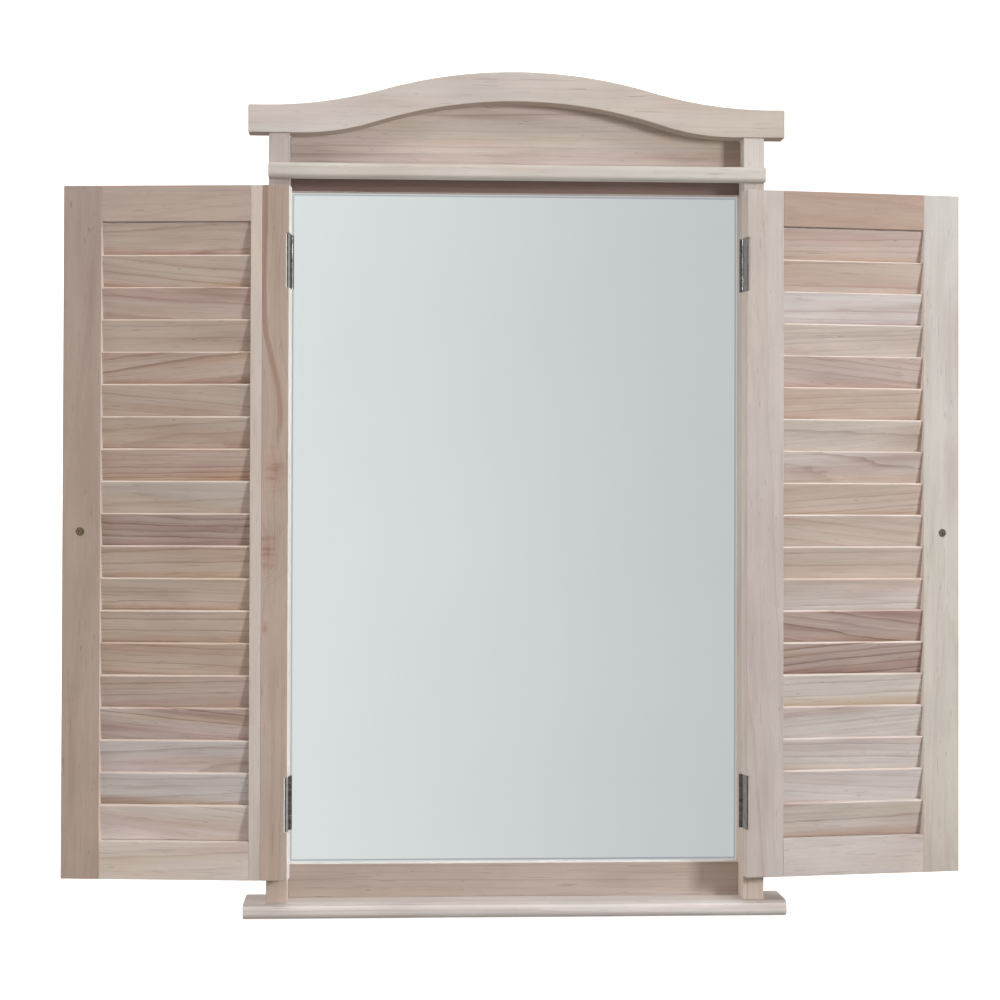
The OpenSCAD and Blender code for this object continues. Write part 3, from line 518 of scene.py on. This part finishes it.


# The posts run from one tone at the foot to another at the head. The foot's lighter tone is partly
# painted light, against the shade of the shutters that overhang it.
for side, name, code, log in ((-1, "left_post", ("#DBC8BB", "#BCB6B3"), (40, 61, 18)),
                              (1, "right_post", ("#D8C8BA", "#CCC6C0"), (700, -48, 26))):
    inner, outer = HALF_OPENING * side, POST_OUT * side
    post = block(name + "_board", (min(inner, outer), POST_FRONT, SILL_TOP),
                 (max(inner, outer), 0, POST_TOP))
    ease(post, 0.7)
    back = sorted((inner - side, inner + REBATE * side))
    plate = PLATE_X * side
    cut(post, block("rebate", (back[0], -REBATE, REBATE_LOW), (back[1], PAST, REBATE_HIGH)),
        block("plate_seat", (plate - PLATE_HALF, -PLATE_DEEP, PLATE_LOW),
              (plate + PLATE_HALF, PAST, PLATE_HIGH)),
        drill("pocket", POCKET_R, POCKET_R, POCKET_LONG, (plate, POCKET_Y, POCKET_Z)))
    mill(post, "z", code, 0.25, 5.2, log)
    settle(post, "cabinet", "post_wood", name)


# Rails. Two boards of browner wood between the posts, set back behind the closed shutters, with
# the rebate for the glass along their inner back edges. The top rail is toned far darker still:
# a painted shadow of the batten over it.
RAIL_FRONT, BOTTOM_RAIL_HIGH, TOP_RAIL_LOW, TOP_RAIL_HIGH = -19, 41.5, 611.5, 631.5

bottom = block("bottom_rail_board", (-HALF_OPENING, RAIL_FRONT, SILL_TOP),
               (HALF_OPENING, 0, BOTTOM_RAIL_HIGH))
ease(bottom, 0.5)
cut(bottom, block("rebate", (-HALF_OPENING - PAST, -REBATE, REBATE_LOW),
                  (HALF_OPENING + PAST, PAST, BOTTOM_RAIL_HIGH + PAST)))
# Painted highlight: the rail's upward faces, the ledge under the glass, are toned much lighter, as
# light from above catches them.
mill(bottom, "x", "#BAACA3", 0.25, 6.5, (120, 14, 21),
     other=(lambda face: face.normal.z > 0.6, "#E4E0DE"))
settle(bottom, "cabinet", "shaded_wood", "bottom_rail")

top = block("top_rail_board", (-HALF_OPENING, RAIL_FRONT, TOP_RAIL_LOW),
            (HALF_OPENING, 0, TOP_RAIL_HIGH))
ease(top, 0.5)
cut(top, block("rebate", (-HALF_OPENING - PAST, -REBATE, TOP_RAIL_LOW - PAST),
               (HALF_OPENING + PAST, PAST, REBATE_HIGH)))
# Painted shadow: this dark tone stands for the batten's shadow on the rail. The underside is
# painted lighter, as painted light from below.
mill(top, "x", "#7A675F", 0.25, 6.0, (820, 33, 40),
     other=(lambda face: face.normal.z < -0.6, "#D6C7BF"))
settle(top, "cabinet", "shaded_wood", "top_rail")


# Sill. A wide pale board under the posts, with its two long front edges rounded on the moulder,
# screwed on from below.
SILL_HALF, SILL_FRONT = 228, -50


def long_front(front):
    """A test for the two long edges of a board whose front lies at this depth."""
    return lambda a, b: max(a.y, b.y) < front + 1 and abs(a.x - b.x) > 100


def is_end(a, b, half_width):
    """Whether an edge lies on one of the board's two ends."""
    return abs(a.x - b.x) < 0.1 and abs(a.x) > half_width - 1


sill = block("sill_board", (-SILL_HALF, SILL_FRONT, 0), (SILL_HALF, 0, SILL_TOP))
ease(sill, 5.5, 12, long_front(SILL_FRONT))
ease(sill, 0.6, 2, lambda a, b: is_end(a, b, SILL_HALF) or (a.y > -1 and b.y > -1))
# Painted light and shade: the rounded front is toned lighter than the wood, against the shade it
# stands in, and the top face darker, where the lamp above lights it strongly.
mill(sill, "x", "#E5DFDB", 0.25, 6.0, (300, 30, 55),
     other=(lambda face: face.normal.z > 0.6, "#CBC3BE"))
settle(sill, "cabinet", "pale_wood", "sill")


# Batten. A strip of pale wood, glued and dowelled across the fronts of the posts just over the
# shutters, with its front edges rounded on the moulder like the sill's.
BATTEN_FRONT, BATTEN_LOW, BATTEN_HIGH = -55, 618.5, 631

batten = block("batten_strip", (-POST_OUT, BATTEN_FRONT, BATTEN_LOW),
               (POST_OUT, POST_FRONT, BATTEN_HIGH))
ease(batten, 3.5, 8, long_front(BATTEN_FRONT))
ease(batten, 0.5, 2, lambda a, b: is_end(a, b, POST_OUT))
mill(batten, "x", "#CCC7BF", 0.12, 4.5, (510, 44, 60))
settle(batten, "cabinet", "pale_wood", "batten")


# Cornice. An arched board on the post tops, sawn to a crown with two hollow toes above and below
# and sanded. Behind it stands a thinner panel of the same outline, which shows under the arch and
# is glued up from a wide board and a narrow, pinker one.
CORNICE_HALF, CORNICE_FRONT, CORNICE_BACK, CORNICE_END = 226.25, -46, -26, 680.5
PANEL_HALF, PANEL_BACK, PANEL_END = 191.3, -16, 674.5
UPPER_ARCH = (214.25, 29.8, 410)  # half span, rise and crown radius
LOWER_ARCH = (182.25, 28.2, 400)
GLUE_LINE, GLUE_SLOPE = 0.645, 0.0115  # its height in the middle, in metres, and its slope


def arch_height(x, half_span, rise, crown):
    """Height of a crown between two hollow toes above its springing, in millimetres."""
    x = abs(x)
    toe = (half_span ** 2 / rise + rise) / 2 - crown
    bend = half_span * crown / (crown + toe)
    if x >= half_span:
        return 0.0
    if x > bend:
        return toe - math.sqrt(toe ** 2 - (half_span - x) ** 2)
    return rise - crown + math.sqrt(crown ** 2 - x ** 2)


def arched_board(name, half_width, front, back, lower, upper, columns, radius):
    """A board whose lower and upper edges follow two functions of x."""
    deselect()
    bpy.ops.mesh.primitive_grid_add(x_subdivisions=columns, y_subdivisions=1, size=1,
                                    rotation=(math.pi / 2, 0, 0), location=(0, front * MM, 0))
    piece = bpy.context.object
    piece.name = piece.data.name = name
    bpy.ops.object.transform_apply(location=True, rotation=True)
    for vertex in piece.data.vertices:
        x = vertex.co.x * 2 * half_width
        vertex.co = Vector((x, front, upper(x) if vertex.co.z > 0 else lower(x))) * MM
    bpy.ops.object.mode_set(mode="EDIT")
    bpy.ops.mesh.select_all(action="SELECT")
    bpy.ops.mesh.extrude_region_move(
        TRANSFORM_OT_translate={"value": (0, (back - front) * MM, 0)})
    bpy.ops.mesh.select_all(action="SELECT")
    bpy.ops.mesh.normals_make_consistent(inside=False)
    bpy.ops.mesh.select_all(action="DESELECT")
    bpy.ops.mesh.select_mode(type="EDGE")
    bpy.ops.mesh.edges_select_sharp(sharpness=math.radians(50))
    bpy.ops.mesh.bevel(offset=radius * MM, segments=2, affect="EDGES", clamp_overlap=False)
    bpy.ops.object.mode_set(mode="OBJECT")
    return piece


cornice = arched_board("cornice_board", CORNICE_HALF, CORNICE_FRONT, CORNICE_BACK,
                       lambda x: POST_TOP + arch_height(x, *LOWER_ARCH),
                       lambda x: CORNICE_END + arch_height(x, *UPPER_ARCH), 180, 0.7)
# Painted shade: the faces under the arch are toned a darker brown, the shade beneath the board.
mill(cornice, "x", ("#CDC6C1", "#BFB4AA"), 0.10, 7.5, (60, 12, 48),
     other=(lambda face: face.normal.z < -0.5, "#B4A192"))
settle(cornice, "cabinet", "pale_wood", "cornice")

panel = arched_board("pediment_board", PANEL_HALF, CORNICE_BACK, PANEL_BACK,
                     lambda x: TOP_RAIL_HIGH,
                     lambda x: PANEL_END + arch_height(x, *UPPER_ARCH), 120, 0.3)
bpy.context.view_layer.objects.active = panel
bpy.ops.object.mode_set(mode="EDIT")
bpy.ops.mesh.select_all(action="SELECT")
bpy.ops.mesh.bisect(plane_co=(0, 0, GLUE_LINE), plane_no=(-GLUE_SLOPE, 0, 1))
bpy.ops.object.mode_set(mode="OBJECT")
# Painted shade: the panel darkens towards its right end, where the right post and the cornice shade
# it.
mill(panel, "x", ("#D9CDC4", "#C1B6AE"), 0.50, 7.0, (930, 38, 30), other=(
    lambda face: face.center.z < GLUE_LINE + GLUE_SLOPE * face.center.x, "#C7B6AF"))
settle(panel, "cabinet", "post_wood", "pediment_panel")


# Mirror. Three-millimetre float glass, silvered behind: it reflects nearly all, with the faint
# green-grey of the glass, and wiping has left the thinnest film on it. Just inside the opening a
# grey hairline is painted into the silver's tint all round: a painted reflection of the frame's
# shadowed arris.
GLASS_HALF, GLASS_LOW, GLASS_HIGH, GLASS_BACK = 197.7, 35.3, 617.7, -4
OPENING = (HALF_OPENING * MM, (BOTTOM_RAIL_HIGH + TOP_RAIL_LOW) / 2 * MM,
           (TOP_RAIL_LOW - BOTTOM_RAIL_HIGH) / 2 * MM)  # half width, middle and half height
PAINTED_HAIRLINE_IN, PAINTED_HAIRLINE_OUTER, PAINTED_HAIRLINE_FULL = 0.0014, 0.0011, 0.0003


def silvered_glass():
    """Silvered float glass: a sharp reflection with the glass's green-grey tint, dulled a little
    by the film in clouds of eleven centimetres, under the glass's own clear face."""
    material, tree = start_material("silvered_float_glass")
    place = add(tree, "ShaderNodeTexCoord").outputs["Object"]
    film = add(tree, "ShaderNodeTexNoise", {
        "Vector": place, "Scale": 9.0, "Detail": 4.0, "Roughness": 0.6})
    haze = add(tree, "ShaderNodeMapRange", {
        "Value": film, "From Min": 0.35, "From Max": 0.75, "To Min": 0.008, "To Max": 0.03})
    tint = add(tree, "ShaderNodeMix", {0: film, 6: linear("#E3E6E5"), 7: linear("#DEE1E2")},
               data_type="RGBA")
    # Painted reflection: the tint greys to a hairline 1.4 mm inside the opening, standing for the
    # frame's shadowed arris seen in the silver.
    across = add(tree, "ShaderNodeVectorMath", {0: place, 1: (0.0, 0.0, OPENING[1])},
                 operation="SUBTRACT")
    across = add(tree, "ShaderNodeVectorMath", {0: across}, operation="ABSOLUTE")
    across = add(tree, "ShaderNodeVectorMath", {0: (OPENING[0], 0.0, OPENING[2]), 1: across},
                 operation="SUBTRACT")
    across = add(tree, "ShaderNodeSeparateXYZ", {0: across}).outputs
    inside = add(tree, "ShaderNodeMath", {0: across["X"], 1: across["Z"]}, operation="MINIMUM")
    beside = add(tree, "ShaderNodeMath", {0: inside, 1: PAINTED_HAIRLINE_IN}, operation="SUBTRACT")
    beside = add(tree, "ShaderNodeMath", {0: beside}, operation="ABSOLUTE")
    line = add(tree, "ShaderNodeMapRange", {
        "Value": beside, "From Min": PAINTED_HAIRLINE_OUTER, "From Max": PAINTED_HAIRLINE_FULL})
    tint = add(tree, "ShaderNodeMix", {0: line, 6: tint, 7: linear("#B5B8B7")}, data_type="RGBA")
    silver = add(tree, "ShaderNodeBsdfPrincipled", {
        "Base Color": tint, "Metallic": 1.0, "Roughness": haze,
        "Coat Weight": 0.4, "Coat Roughness": 0.02, "Coat IOR": 1.52})
    add(tree, "ShaderNodeOutputMaterial", {"Surface": silver})
    return material


glass = block("mirror_sheet", (-GLASS_HALF, -REBATE, GLASS_LOW),
              (GLASS_HALF, GLASS_BACK, GLASS_HIGH))
ease(glass, 0.3)
glass.data.materials.append(silvered_glass())
settle(glass, "cabinet", "silvered_glass", "mirror_glass")


# Backing board. Brown hardboard behind the glass, pressed from wet fibre, its smooth face to the
# back and a little mottled; headless steel sprigs in the rebate hold it.
BACKING_BACK = -1.5


def hardboard():
    """Hardboard: brown wood fibre pressed hard, mottled in clouds of 45 mm, with a felt of fibres
    1.4 mm long."""
    material, tree = start_material("pressed_hardboard")
    place = add(tree, "ShaderNodeTexCoord").outputs["Object"]
    fluff = add(tree, "ShaderNodeTexNoise", {
        "Vector": place, "Scale": 700.0, "Detail": 3.0, "Roughness": 0.7})
    cloud = add(tree, "ShaderNodeTexNoise", {"Vector": place, "Scale": 22.0, "Detail": 4.0})
    brown = add(tree, "ShaderNodeMix", {0: cloud, 6: linear("#6E523C"), 7: linear("#8C6C50")},
                data_type="RGBA")
    flecked = add(tree, "ShaderNodeMix", {0: 0.5, 6: brown, 7: fluff.outputs["Color"]},
                  data_type="RGBA", blend_type="SOFT_LIGHT")
    bump = add(tree, "ShaderNodeBump", {"Height": fluff, "Strength": 0.4, "Distance": 0.0001})
    pressed = add(tree, "ShaderNodeBsdfPrincipled", {
        "Base Color": flecked, "Roughness": 0.55, "Specular IOR Level": 0.35, "Normal": bump})
    add(tree, "ShaderNodeOutputMaterial", {"Surface": pressed})
    return material


backing = block("backing_sheet", (-GLASS_HALF, GLASS_BACK, GLASS_LOW),
                (GLASS_HALF, BACKING_BACK, GLASS_HIGH))
ease(backing, 0.3)
backing.data.materials.append(hardboard())
settle(backing, "cabinet", "hardboard", "backing_board")


# Small fixings. Sprigs, panel nails and hanger plates are bright zinc on steel; the wood screws
# are dark yellow zinc, gone brown on the right knob's screw; the dowels are plain beech rod, which
# shows only where a joint stands open.
def plated_steel(name, light, dark, rough, patch_mm=3.8):
    """Steel sheet or wire under a thin zinc layer: light and dark in cloudy patches of a size
    given in millimetres, with rub marks 0.4 mm apart and 6 mm long."""
    material, tree = start_material(name)
    place = add(tree, "ShaderNodeTexCoord").outputs["Object"]
    cloud = add(tree, "ShaderNodeTexNoise", {
        "Vector": place, "Scale": 1000 / patch_mm, "Detail": 4.0, "Roughness": 0.65})
    rubs = add(tree, "ShaderNodeMapping", {"Vector": place, "Scale": (2400.0, 2400.0, 160.0)})
    scratch = add(tree, "ShaderNodeTexNoise", {"Vector": rubs, "Scale": 1.0, "Detail": 2.0})
    tint = add(tree, "ShaderNodeMapRange", {"Value": cloud, "From Min": 0.35, "From Max": 0.65})
    colour = add(tree, "ShaderNodeMix", {0: tint, 6: linear(dark), 7: linear(light)},
                 data_type="RGBA")
    dull = add(tree, "ShaderNodeMapRange", {
        "Value": scratch, "From Min": 0.3, "From Max": 0.7,
        "To Min": rough - 0.08, "To Max": rough + 0.10})
    bump = add(tree, "ShaderNodeBump", {
        "Height": scratch, "Strength": 0.25, "Distance": 0.00003})
    zinc = add(tree, "ShaderNodeBsdfPrincipled", {
        "Base Color": colour, "Metallic": 1.0, "Roughness": dull, "Normal": bump})
    add(tree, "ShaderNodeOutputMaterial", {"Surface": zinc})
    return material


def beech():
    """Beech dowel rod: pale orange-brown with dark flecks, 3 mm long and 1 mm wide."""
    material, tree = start_material("beech_dowel")
    place = add(tree, "ShaderNodeTexCoord").outputs["Object"]
    drawn_out = add(tree, "ShaderNodeMapping", {"Vector": place, "Scale": (300.0, 900.0, 900.0)})
    fleck = add(tree, "ShaderNodeTexNoise", {"Vector": drawn_out, "Scale": 1.0, "Detail": 3.0})
    colour = add(tree, "ShaderNodeMix", {0: fleck, 6: linear("#B8966C"), 7: linear("#D8BC96")},
                 data_type="RGBA")
    rod = add(tree, "ShaderNodeBsdfPrincipled", {"Base Color": colour, "Roughness": 0.6})
    add(tree, "ShaderNodeOutputMaterial", {"Surface": rod})
    return material


def dress(material, *names):
    """CAD nodes whose shape is right keep it and get their material."""
    for name in names:
        node[name].data.materials.clear()
        node[name].data.materials.append(material)
        node[name].visible_glossy = False


bright_zinc = plated_steel("bright_zinc_plate", "#C9C6C2", "#8F8C89", 0.30)
dark_zinc = plated_steel("dark_yellow_zinc", "#8C7A60", "#2C251E", 0.42, 1.1)
browned_zinc = plated_steel("browned_zinc", "#554D44", "#060505", 0.42, 1.1)
dress(bright_zinc, "glazing_sprigs", "panel_nails", "left_hanger_plate", "right_hanger_plate")
dress(dark_zinc, "sill_screws", "hanger_screws", "left_post_leaf_screws",
      "right_post_leaf_screws", "left_shutter_leaf_screws", "right_shutter_leaf_screws",
      "left_knob_screw")
dress(browned_zinc, "right_knob_screw")
dress(beech(), "frame_dowels", "cornice_dowels", "batten_dowels", "left_shutter_dowels",
      "right_shutter_dowels")


# Shutter frames. Stiles and rails of sixteen-millimetre paulownia, dowelled at the corners. They
# are made closed, measured from the hinge axis, and then swung open to where they stand. The left
# hinge stile is glued up from a knotty board and a paler strip.
HINGE_AXIS = (-0.1895, -0.047, 0)
OPENED = {-1: 186, 1: 189}  # degrees from closed, left and right
OUTER_FACE, INNER_FACE, SHUTTER_FOOT, SHUTTER_HEAD = 2, 18, 34.5, 610.5
HINGE_EDGE, STRIP_EDGE, STILE_IN, FREE_STILE_IN, FREE_EDGE = -0.5, 22, 31.5, 156.4, 188.4
BOTTOM_RAIL_IN, TOP_RAIL_IN = 66, 580.5
SLAT_TOP, SLAT_BOTTOM, SLAT_COUNT, SLAT_LEAN = 579.218, 66.2, 19, 12.5
SLAT_THICK, SLAT_LAP, SLAT_IN, SLAT_FIT = 5, 2.2, 16, 0.15
HOUSING_ENDS, SLAT_ENDS = (26.5, 161.4), (26.7, 161.2)
SLAT_PITCH = (SLAT_TOP - SLAT_BOTTOM - SLAT_LAP) / SLAT_COUNT
SLAT_WIDE = (SLAT_PITCH + SLAT_LAP) / math.cos(math.radians(SLAT_LEAN))
NOTCH_FEET, NOTCH_LONG, NOTCH_IN = (74.2, 525.2), 45.6, 2
KNOB_U, KNOB_Z = 173.4, 322.5
SEAT_R, SEAT_END_R, SEAT_DEEP, SEAT_W = 3.75, 1.7, 2.2, 17.4


def swing(piece, side):
    """Swings a piece, made for a closed left shutter, as far open as its own side stands, and
    mirrors it for the right."""
    turn = Matrix.Rotation(math.radians(-OPENED[side]), 4, "Z")
    place = Matrix.Translation(HINGE_AXIS) @ turn
    if side > 0:
        place = Matrix.Scale(-1, 4, (1, 0, 0)) @ place
    piece.data.transform(place)
    if side > 0:
        piece.data.flip_normals()


def lean_slat(piece, k):
    """Leans slat k outwards at its foot, from its upper inner edge."""
    piece.data.transform(
        Matrix.Translation((0, SLAT_IN * MM, (SLAT_TOP - k * SLAT_PITCH) * MM))
        @ Matrix.Rotation(math.radians(-SLAT_LEAN), 4, "X"))


def housings():
    """One tool with the shape of every slat, a hair larger than the slats."""
    tools = []
    for k in range(SLAT_COUNT):
        tool = block("housing", (HOUSING_ENDS[0], -SLAT_THICK - SLAT_FIT, -SLAT_WIDE - SLAT_FIT),
                     (HOUSING_ENDS[1], SLAT_FIT, SLAT_FIT))
        lean_slat(tool, k)
        tools.append(tool)
    deselect()
    for tool in tools:
        tool.select_set(True)
    bpy.context.view_layer.objects.active = tools[0]
    bpy.ops.object.join()
    return tools[0]


knotty_wood = raw_paulownia(
    "raw_paulownia_knotty",
    knots=((373, 50, 5), (308, 57, 5), (243, 58, 1.5)),
    sway=((0, 8), (34, 8), (200, 8), (250, 6), (276, 4), (300, -17), (340, -13), (384, -9),
          (400, -11), (417, -12.8), (434, -12), (450, -9.5), (467, -5.8), (479, -3.3),
          (491, -0.8), (516, 0), (610, 0), (650, 0)),
    streak=(59.5, 1.2, 3.0, 385, 420))

# Each stile: its two edges, tone, rings' strength and spacing, place in the log and finish
STILES = {
    "left": (
        ("left_hinge_stile", HINGE_EDGE, STRIP_EDGE, ("#C2B0A5", "#B5A397"), 0.20, 5.0,
         (0, 40, 14), "post_wood"),
        ("left_stile_strip", STRIP_EDGE, STILE_IN, "#D0C5BC", 0.10, 5.0, (420, 70, 30),
         "post_wood"),
        ("left_free_stile", FREE_STILE_IN, FREE_EDGE, ("#B7A498", "#AC9B92"), 0.14, 9.0,
         (160, -150, 34), "pale_wood")),
    "right": (
        ("right_hinge_stile", HINGE_EDGE, STILE_IN, "#C1B8B3", 0.20, 6.5, (770, 40, 42),
         "post_wood"),
        ("right_free_stile", FREE_STILE_IN, FREE_EDGE, ("#C5BEB3", "#C7C4C0"), 0.18, 6.0,
         (510, -185, 22), "pale_wood"))}
# Painted light: the lighter tone of a stile's edge that looks to the middle of the frame, standing
# for the light that catches it
EDGES = {"left_hinge_stile": "#EDE9E5", "left_free_stile": "#DACDC4",
         "right_hinge_stile": "#E0D7D0", "right_free_stile": "#EDE3DC"}
# Each rail: its lower and upper edge, tone and place in the log
# The bottom rails' lighter tones are partly painted light, as the lamps leave the foot of each
# shutter darker.
RAILS = {
    "left": (("top", TOP_RAIL_IN, SHUTTER_HEAD, "#B6A59B", (280, 20, 33)),
             ("bottom", SHUTTER_FOOT, BOTTOM_RAIL_IN, "#D9CDC4", (650, 44, 28))),
    "right": (("top", TOP_RAIL_IN, SHUTTER_HEAD, "#AF998B", (90, 9, 25)),
              ("bottom", SHUTTER_FOOT, BOTTOM_RAIL_IN, "#CCC3BE", (360, 6, 37)))}

for side, hand in ((-1, "left"), (1, "right")):
    body = hand + "_shutter"
    for name, u0, u1, code, lines, ring_mm, log, slot in STILES[hand]:
        stile = block(name + "_board", (u0, OUTER_FACE, SHUTTER_FOOT),
                      (u1, INNER_FACE, SHUTTER_HEAD))
        ease(stile, 0.45)
        cut(stile, housings())
        if u0 == HINGE_EDGE:
            for low in NOTCH_FEET:
                cut(stile, block("hinge_notch", (HINGE_EDGE - PAST, OUTER_FACE - PAST, low),
                                 (NOTCH_IN, INNER_FACE + PAST, low + NOTCH_LONG)))
        if u1 == FREE_EDGE:
            cut(stile, drill("screw_seat", SEAT_R, SEAT_END_R, SEAT_DEEP, (KNOB_U, SEAT_W, KNOB_Z)))
        # The edge that looks to the middle takes its painted light from EDGES.
        mill(stile, "z", code, lines, ring_mm, log,
             other=(lambda face: face.normal.x < -0.6, EDGES.get(name, code)))
        if name == "left_hinge_stile":
            stile.data.materials[0] = knotty_wood
        swing(stile, side)
        settle(stile, body, slot, name)
    for end, z0, z1, code, log in RAILS[hand]:
        rail = block(f"{hand}_{end}_rail_board", (STILE_IN, OUTER_FACE, z0),
                     (FREE_STILE_IN, INNER_FACE, z1))
        ease(rail, 0.35)
        mill(rail, "x", code, 0.25, 5.5, (log[0], log[1] - (z0 + z1) / 2, log[2]))
        swing(rail, side)
        settle(rail, body, "slat_wood", f"{hand}_shutter_{end}_rail")


# Slats. Nineteen thin boards in each shutter, sawn from many different planks, so that each has
# its own tone. They lean outwards at the foot, and their ends stand in housings in the stiles.
TONES = {"greige": "#C2B3A8", "straw": "#C5B5A7", "rose": "#C3B2AA", "mauve": "#CDC2BC",
         "brown": "#C1AEA3", "dark": "#B3A199", "cream": "#CEC6BE", "grey": "#CCC5BF",
         "white": "#D1CBC8", "bright": "#DBD4D0", "biscuit": "#C6BBB2"}
STAINS = {"gold": "#EFE1CD", "rosy": "#E9D5CF", "tan": "#E2CFC4", "plum": "#DDD0D1"}
FIGURE = {"dark": 0.9, "brown": 0.8, "mauve": 0.75, "straw": 0.5, "rose": 0.45, "grey": 0.5}
# Painted highlight: the lighter tone given to each slat's upper edge, where light from above
# catches it
UPPER_EDGE_HIGHLIGHT = {"left": "#DDD0C7", "right": "#E4DAD3"}
# The left shutter's lowest slats take the lightest tones, partly as painted light, since the lamps
# leave the foot of the shutter darker.
# From the top down: each slat's tone, and after the stroke the stain along its lower edge
planks = {
    "left": (
        "greige/rosy greige/gold rose greige brown/tan greige greige/rosy brown/gold biscuit "
        "dark/plum straw/gold straw/tan straw/tan straw rose/tan mauve/plum white white/tan "
        "bright").split(),
    "right": (
        "rose/gold greige white/plum biscuit rose/rosy straw/rosy biscuit grey greige/gold greige "
        "greige grey dark/tan dark/plum cream/gold grey grey white grey/tan").split(),
}
for side, hand in ((-1, "left"), (1, "right")):
    made = []
    for k, plank in enumerate(planks[hand]):
        slat = block(f"{hand}_slat_{k}", (SLAT_ENDS[0], -SLAT_THICK, -SLAT_WIDE),
                     (SLAT_ENDS[1], 0, 0))
        ease(slat, 0.8, 3, lambda a, b: abs(a.x - b.x) > 50)
        plank, _, stain = plank.partition("/")
        strength = FIGURE.get(plank, 0.4) * drawn.uniform(0.8, 1.2)
        ring_mm = drawn.uniform(3.0, 6.0)
        log = (drawn.uniform(0, 900), drawn.choice((-1, 1)) * drawn.uniform(22, 70),
               drawn.uniform(6, 60))
        slope = drawn.choice((-1, 1)) * drawn.choice((0.01, 0.03, 0.08))
        mill(slat, "x", TONES[plank], strength, ring_mm, log, slope, STAINS.get(stain),
             (lambda face: face.normal.z > 0.5 and face.normal.y > -0.1, UPPER_EDGE_HIGHLIGHT[hand]))
        lean_slat(slat, k)
        swing(slat, side)
        made.append(slat)
    deselect()
    for slat in made:
        slat.select_set(True)
    bpy.context.view_layer.objects.active = made[0]
    bpy.ops.object.join()
    made[0].name = hand + "_slat_set"
    settle(made[0], hand + "_shutter", "slat_wood", hand + "_slats")


# Knobs. Turned on the lathe from pale wood, with a tapered foot and a rounded rim, on the outer
# faces of the shutters; one screw from the inner face holds each.
FOOT_R, FOOT_TAPER, NECK, RIM_IN, RIM_R, RIM_AT, KNOB_LONG = 6.5, 1.5, 7, 6, 4, 11, 15
outline = [(0, 0), (FOOT_R, 0)]
outline += [(FOOT_R - FOOT_TAPER * h / RIM_AT, h) for h in (3, 6, NECK)] + [(RIM_IN, NECK)]
outline += [(RIM_IN + RIM_R * math.sin(math.radians(a)), RIM_AT - RIM_R * math.cos(math.radians(a)))
            for a in range(10, 181, 10)]
outline += [(0, KNOB_LONG)]
for side, hand in ((-1, "left"), (1, "right")):
    deselect()
    shape = bpy.data.meshes.new(hand + "_knob_turning")
    shape.from_pydata([(r * MM, 0, h * MM) for r, h in outline],
                      [(k, k + 1) for k in range(len(outline) - 1)], [])
    knob = bpy.data.objects.new(hand + "_knob_turning", shape)
    bpy.context.scene.collection.objects.link(knob)
    knob.select_set(True)
    bpy.context.view_layer.objects.active = knob
    bpy.ops.object.mode_set(mode="EDIT")
    bpy.ops.mesh.select_all(action="SELECT")
    bpy.ops.mesh.spin(steps=64, angle=2 * math.pi, center=(0, 0, 0), axis=(0, 0, 1))
    bpy.ops.mesh.select_all(action="SELECT")
    bpy.ops.mesh.remove_doubles(threshold=0.00002)
    bpy.ops.mesh.normals_make_consistent(inside=False)
    bpy.ops.object.mode_set(mode="OBJECT")
    bpy.ops.object.shade_smooth_by_angle(angle=math.radians(35))
    mill(knob, "z", "#CDBFAE", 0.4, 4.0, (drawn.uniform(0, 200), 9, 12))
    knob.data.transform(Matrix.Translation((KNOB_U * MM, OUTER_FACE * MM, KNOB_Z * MM))
                        @ Matrix.Rotation(math.pi / 2, 4, "X"))
    swing(knob, side)
    settle(knob, hand + "_shutter", "pale_wood", hand + "_knob")


# Hinges. Small butt hinges of plated steel: the cabinet's leaf has the middle knuckle and the
# shutter's leaf the two end ones, round a steel pin.
hinge_steel = plated_steel("hinge_steel", "#625D5B", "#3F3B39", 0.30)
for hand in ("left", "right"):
    for level in ("upper", "lower"):
        dress(hinge_steel, f"{hand}_{level}_post_leaf", f"{hand}_{level}_hinge_pin",
              f"{hand}_{level}_shutter_leaf")
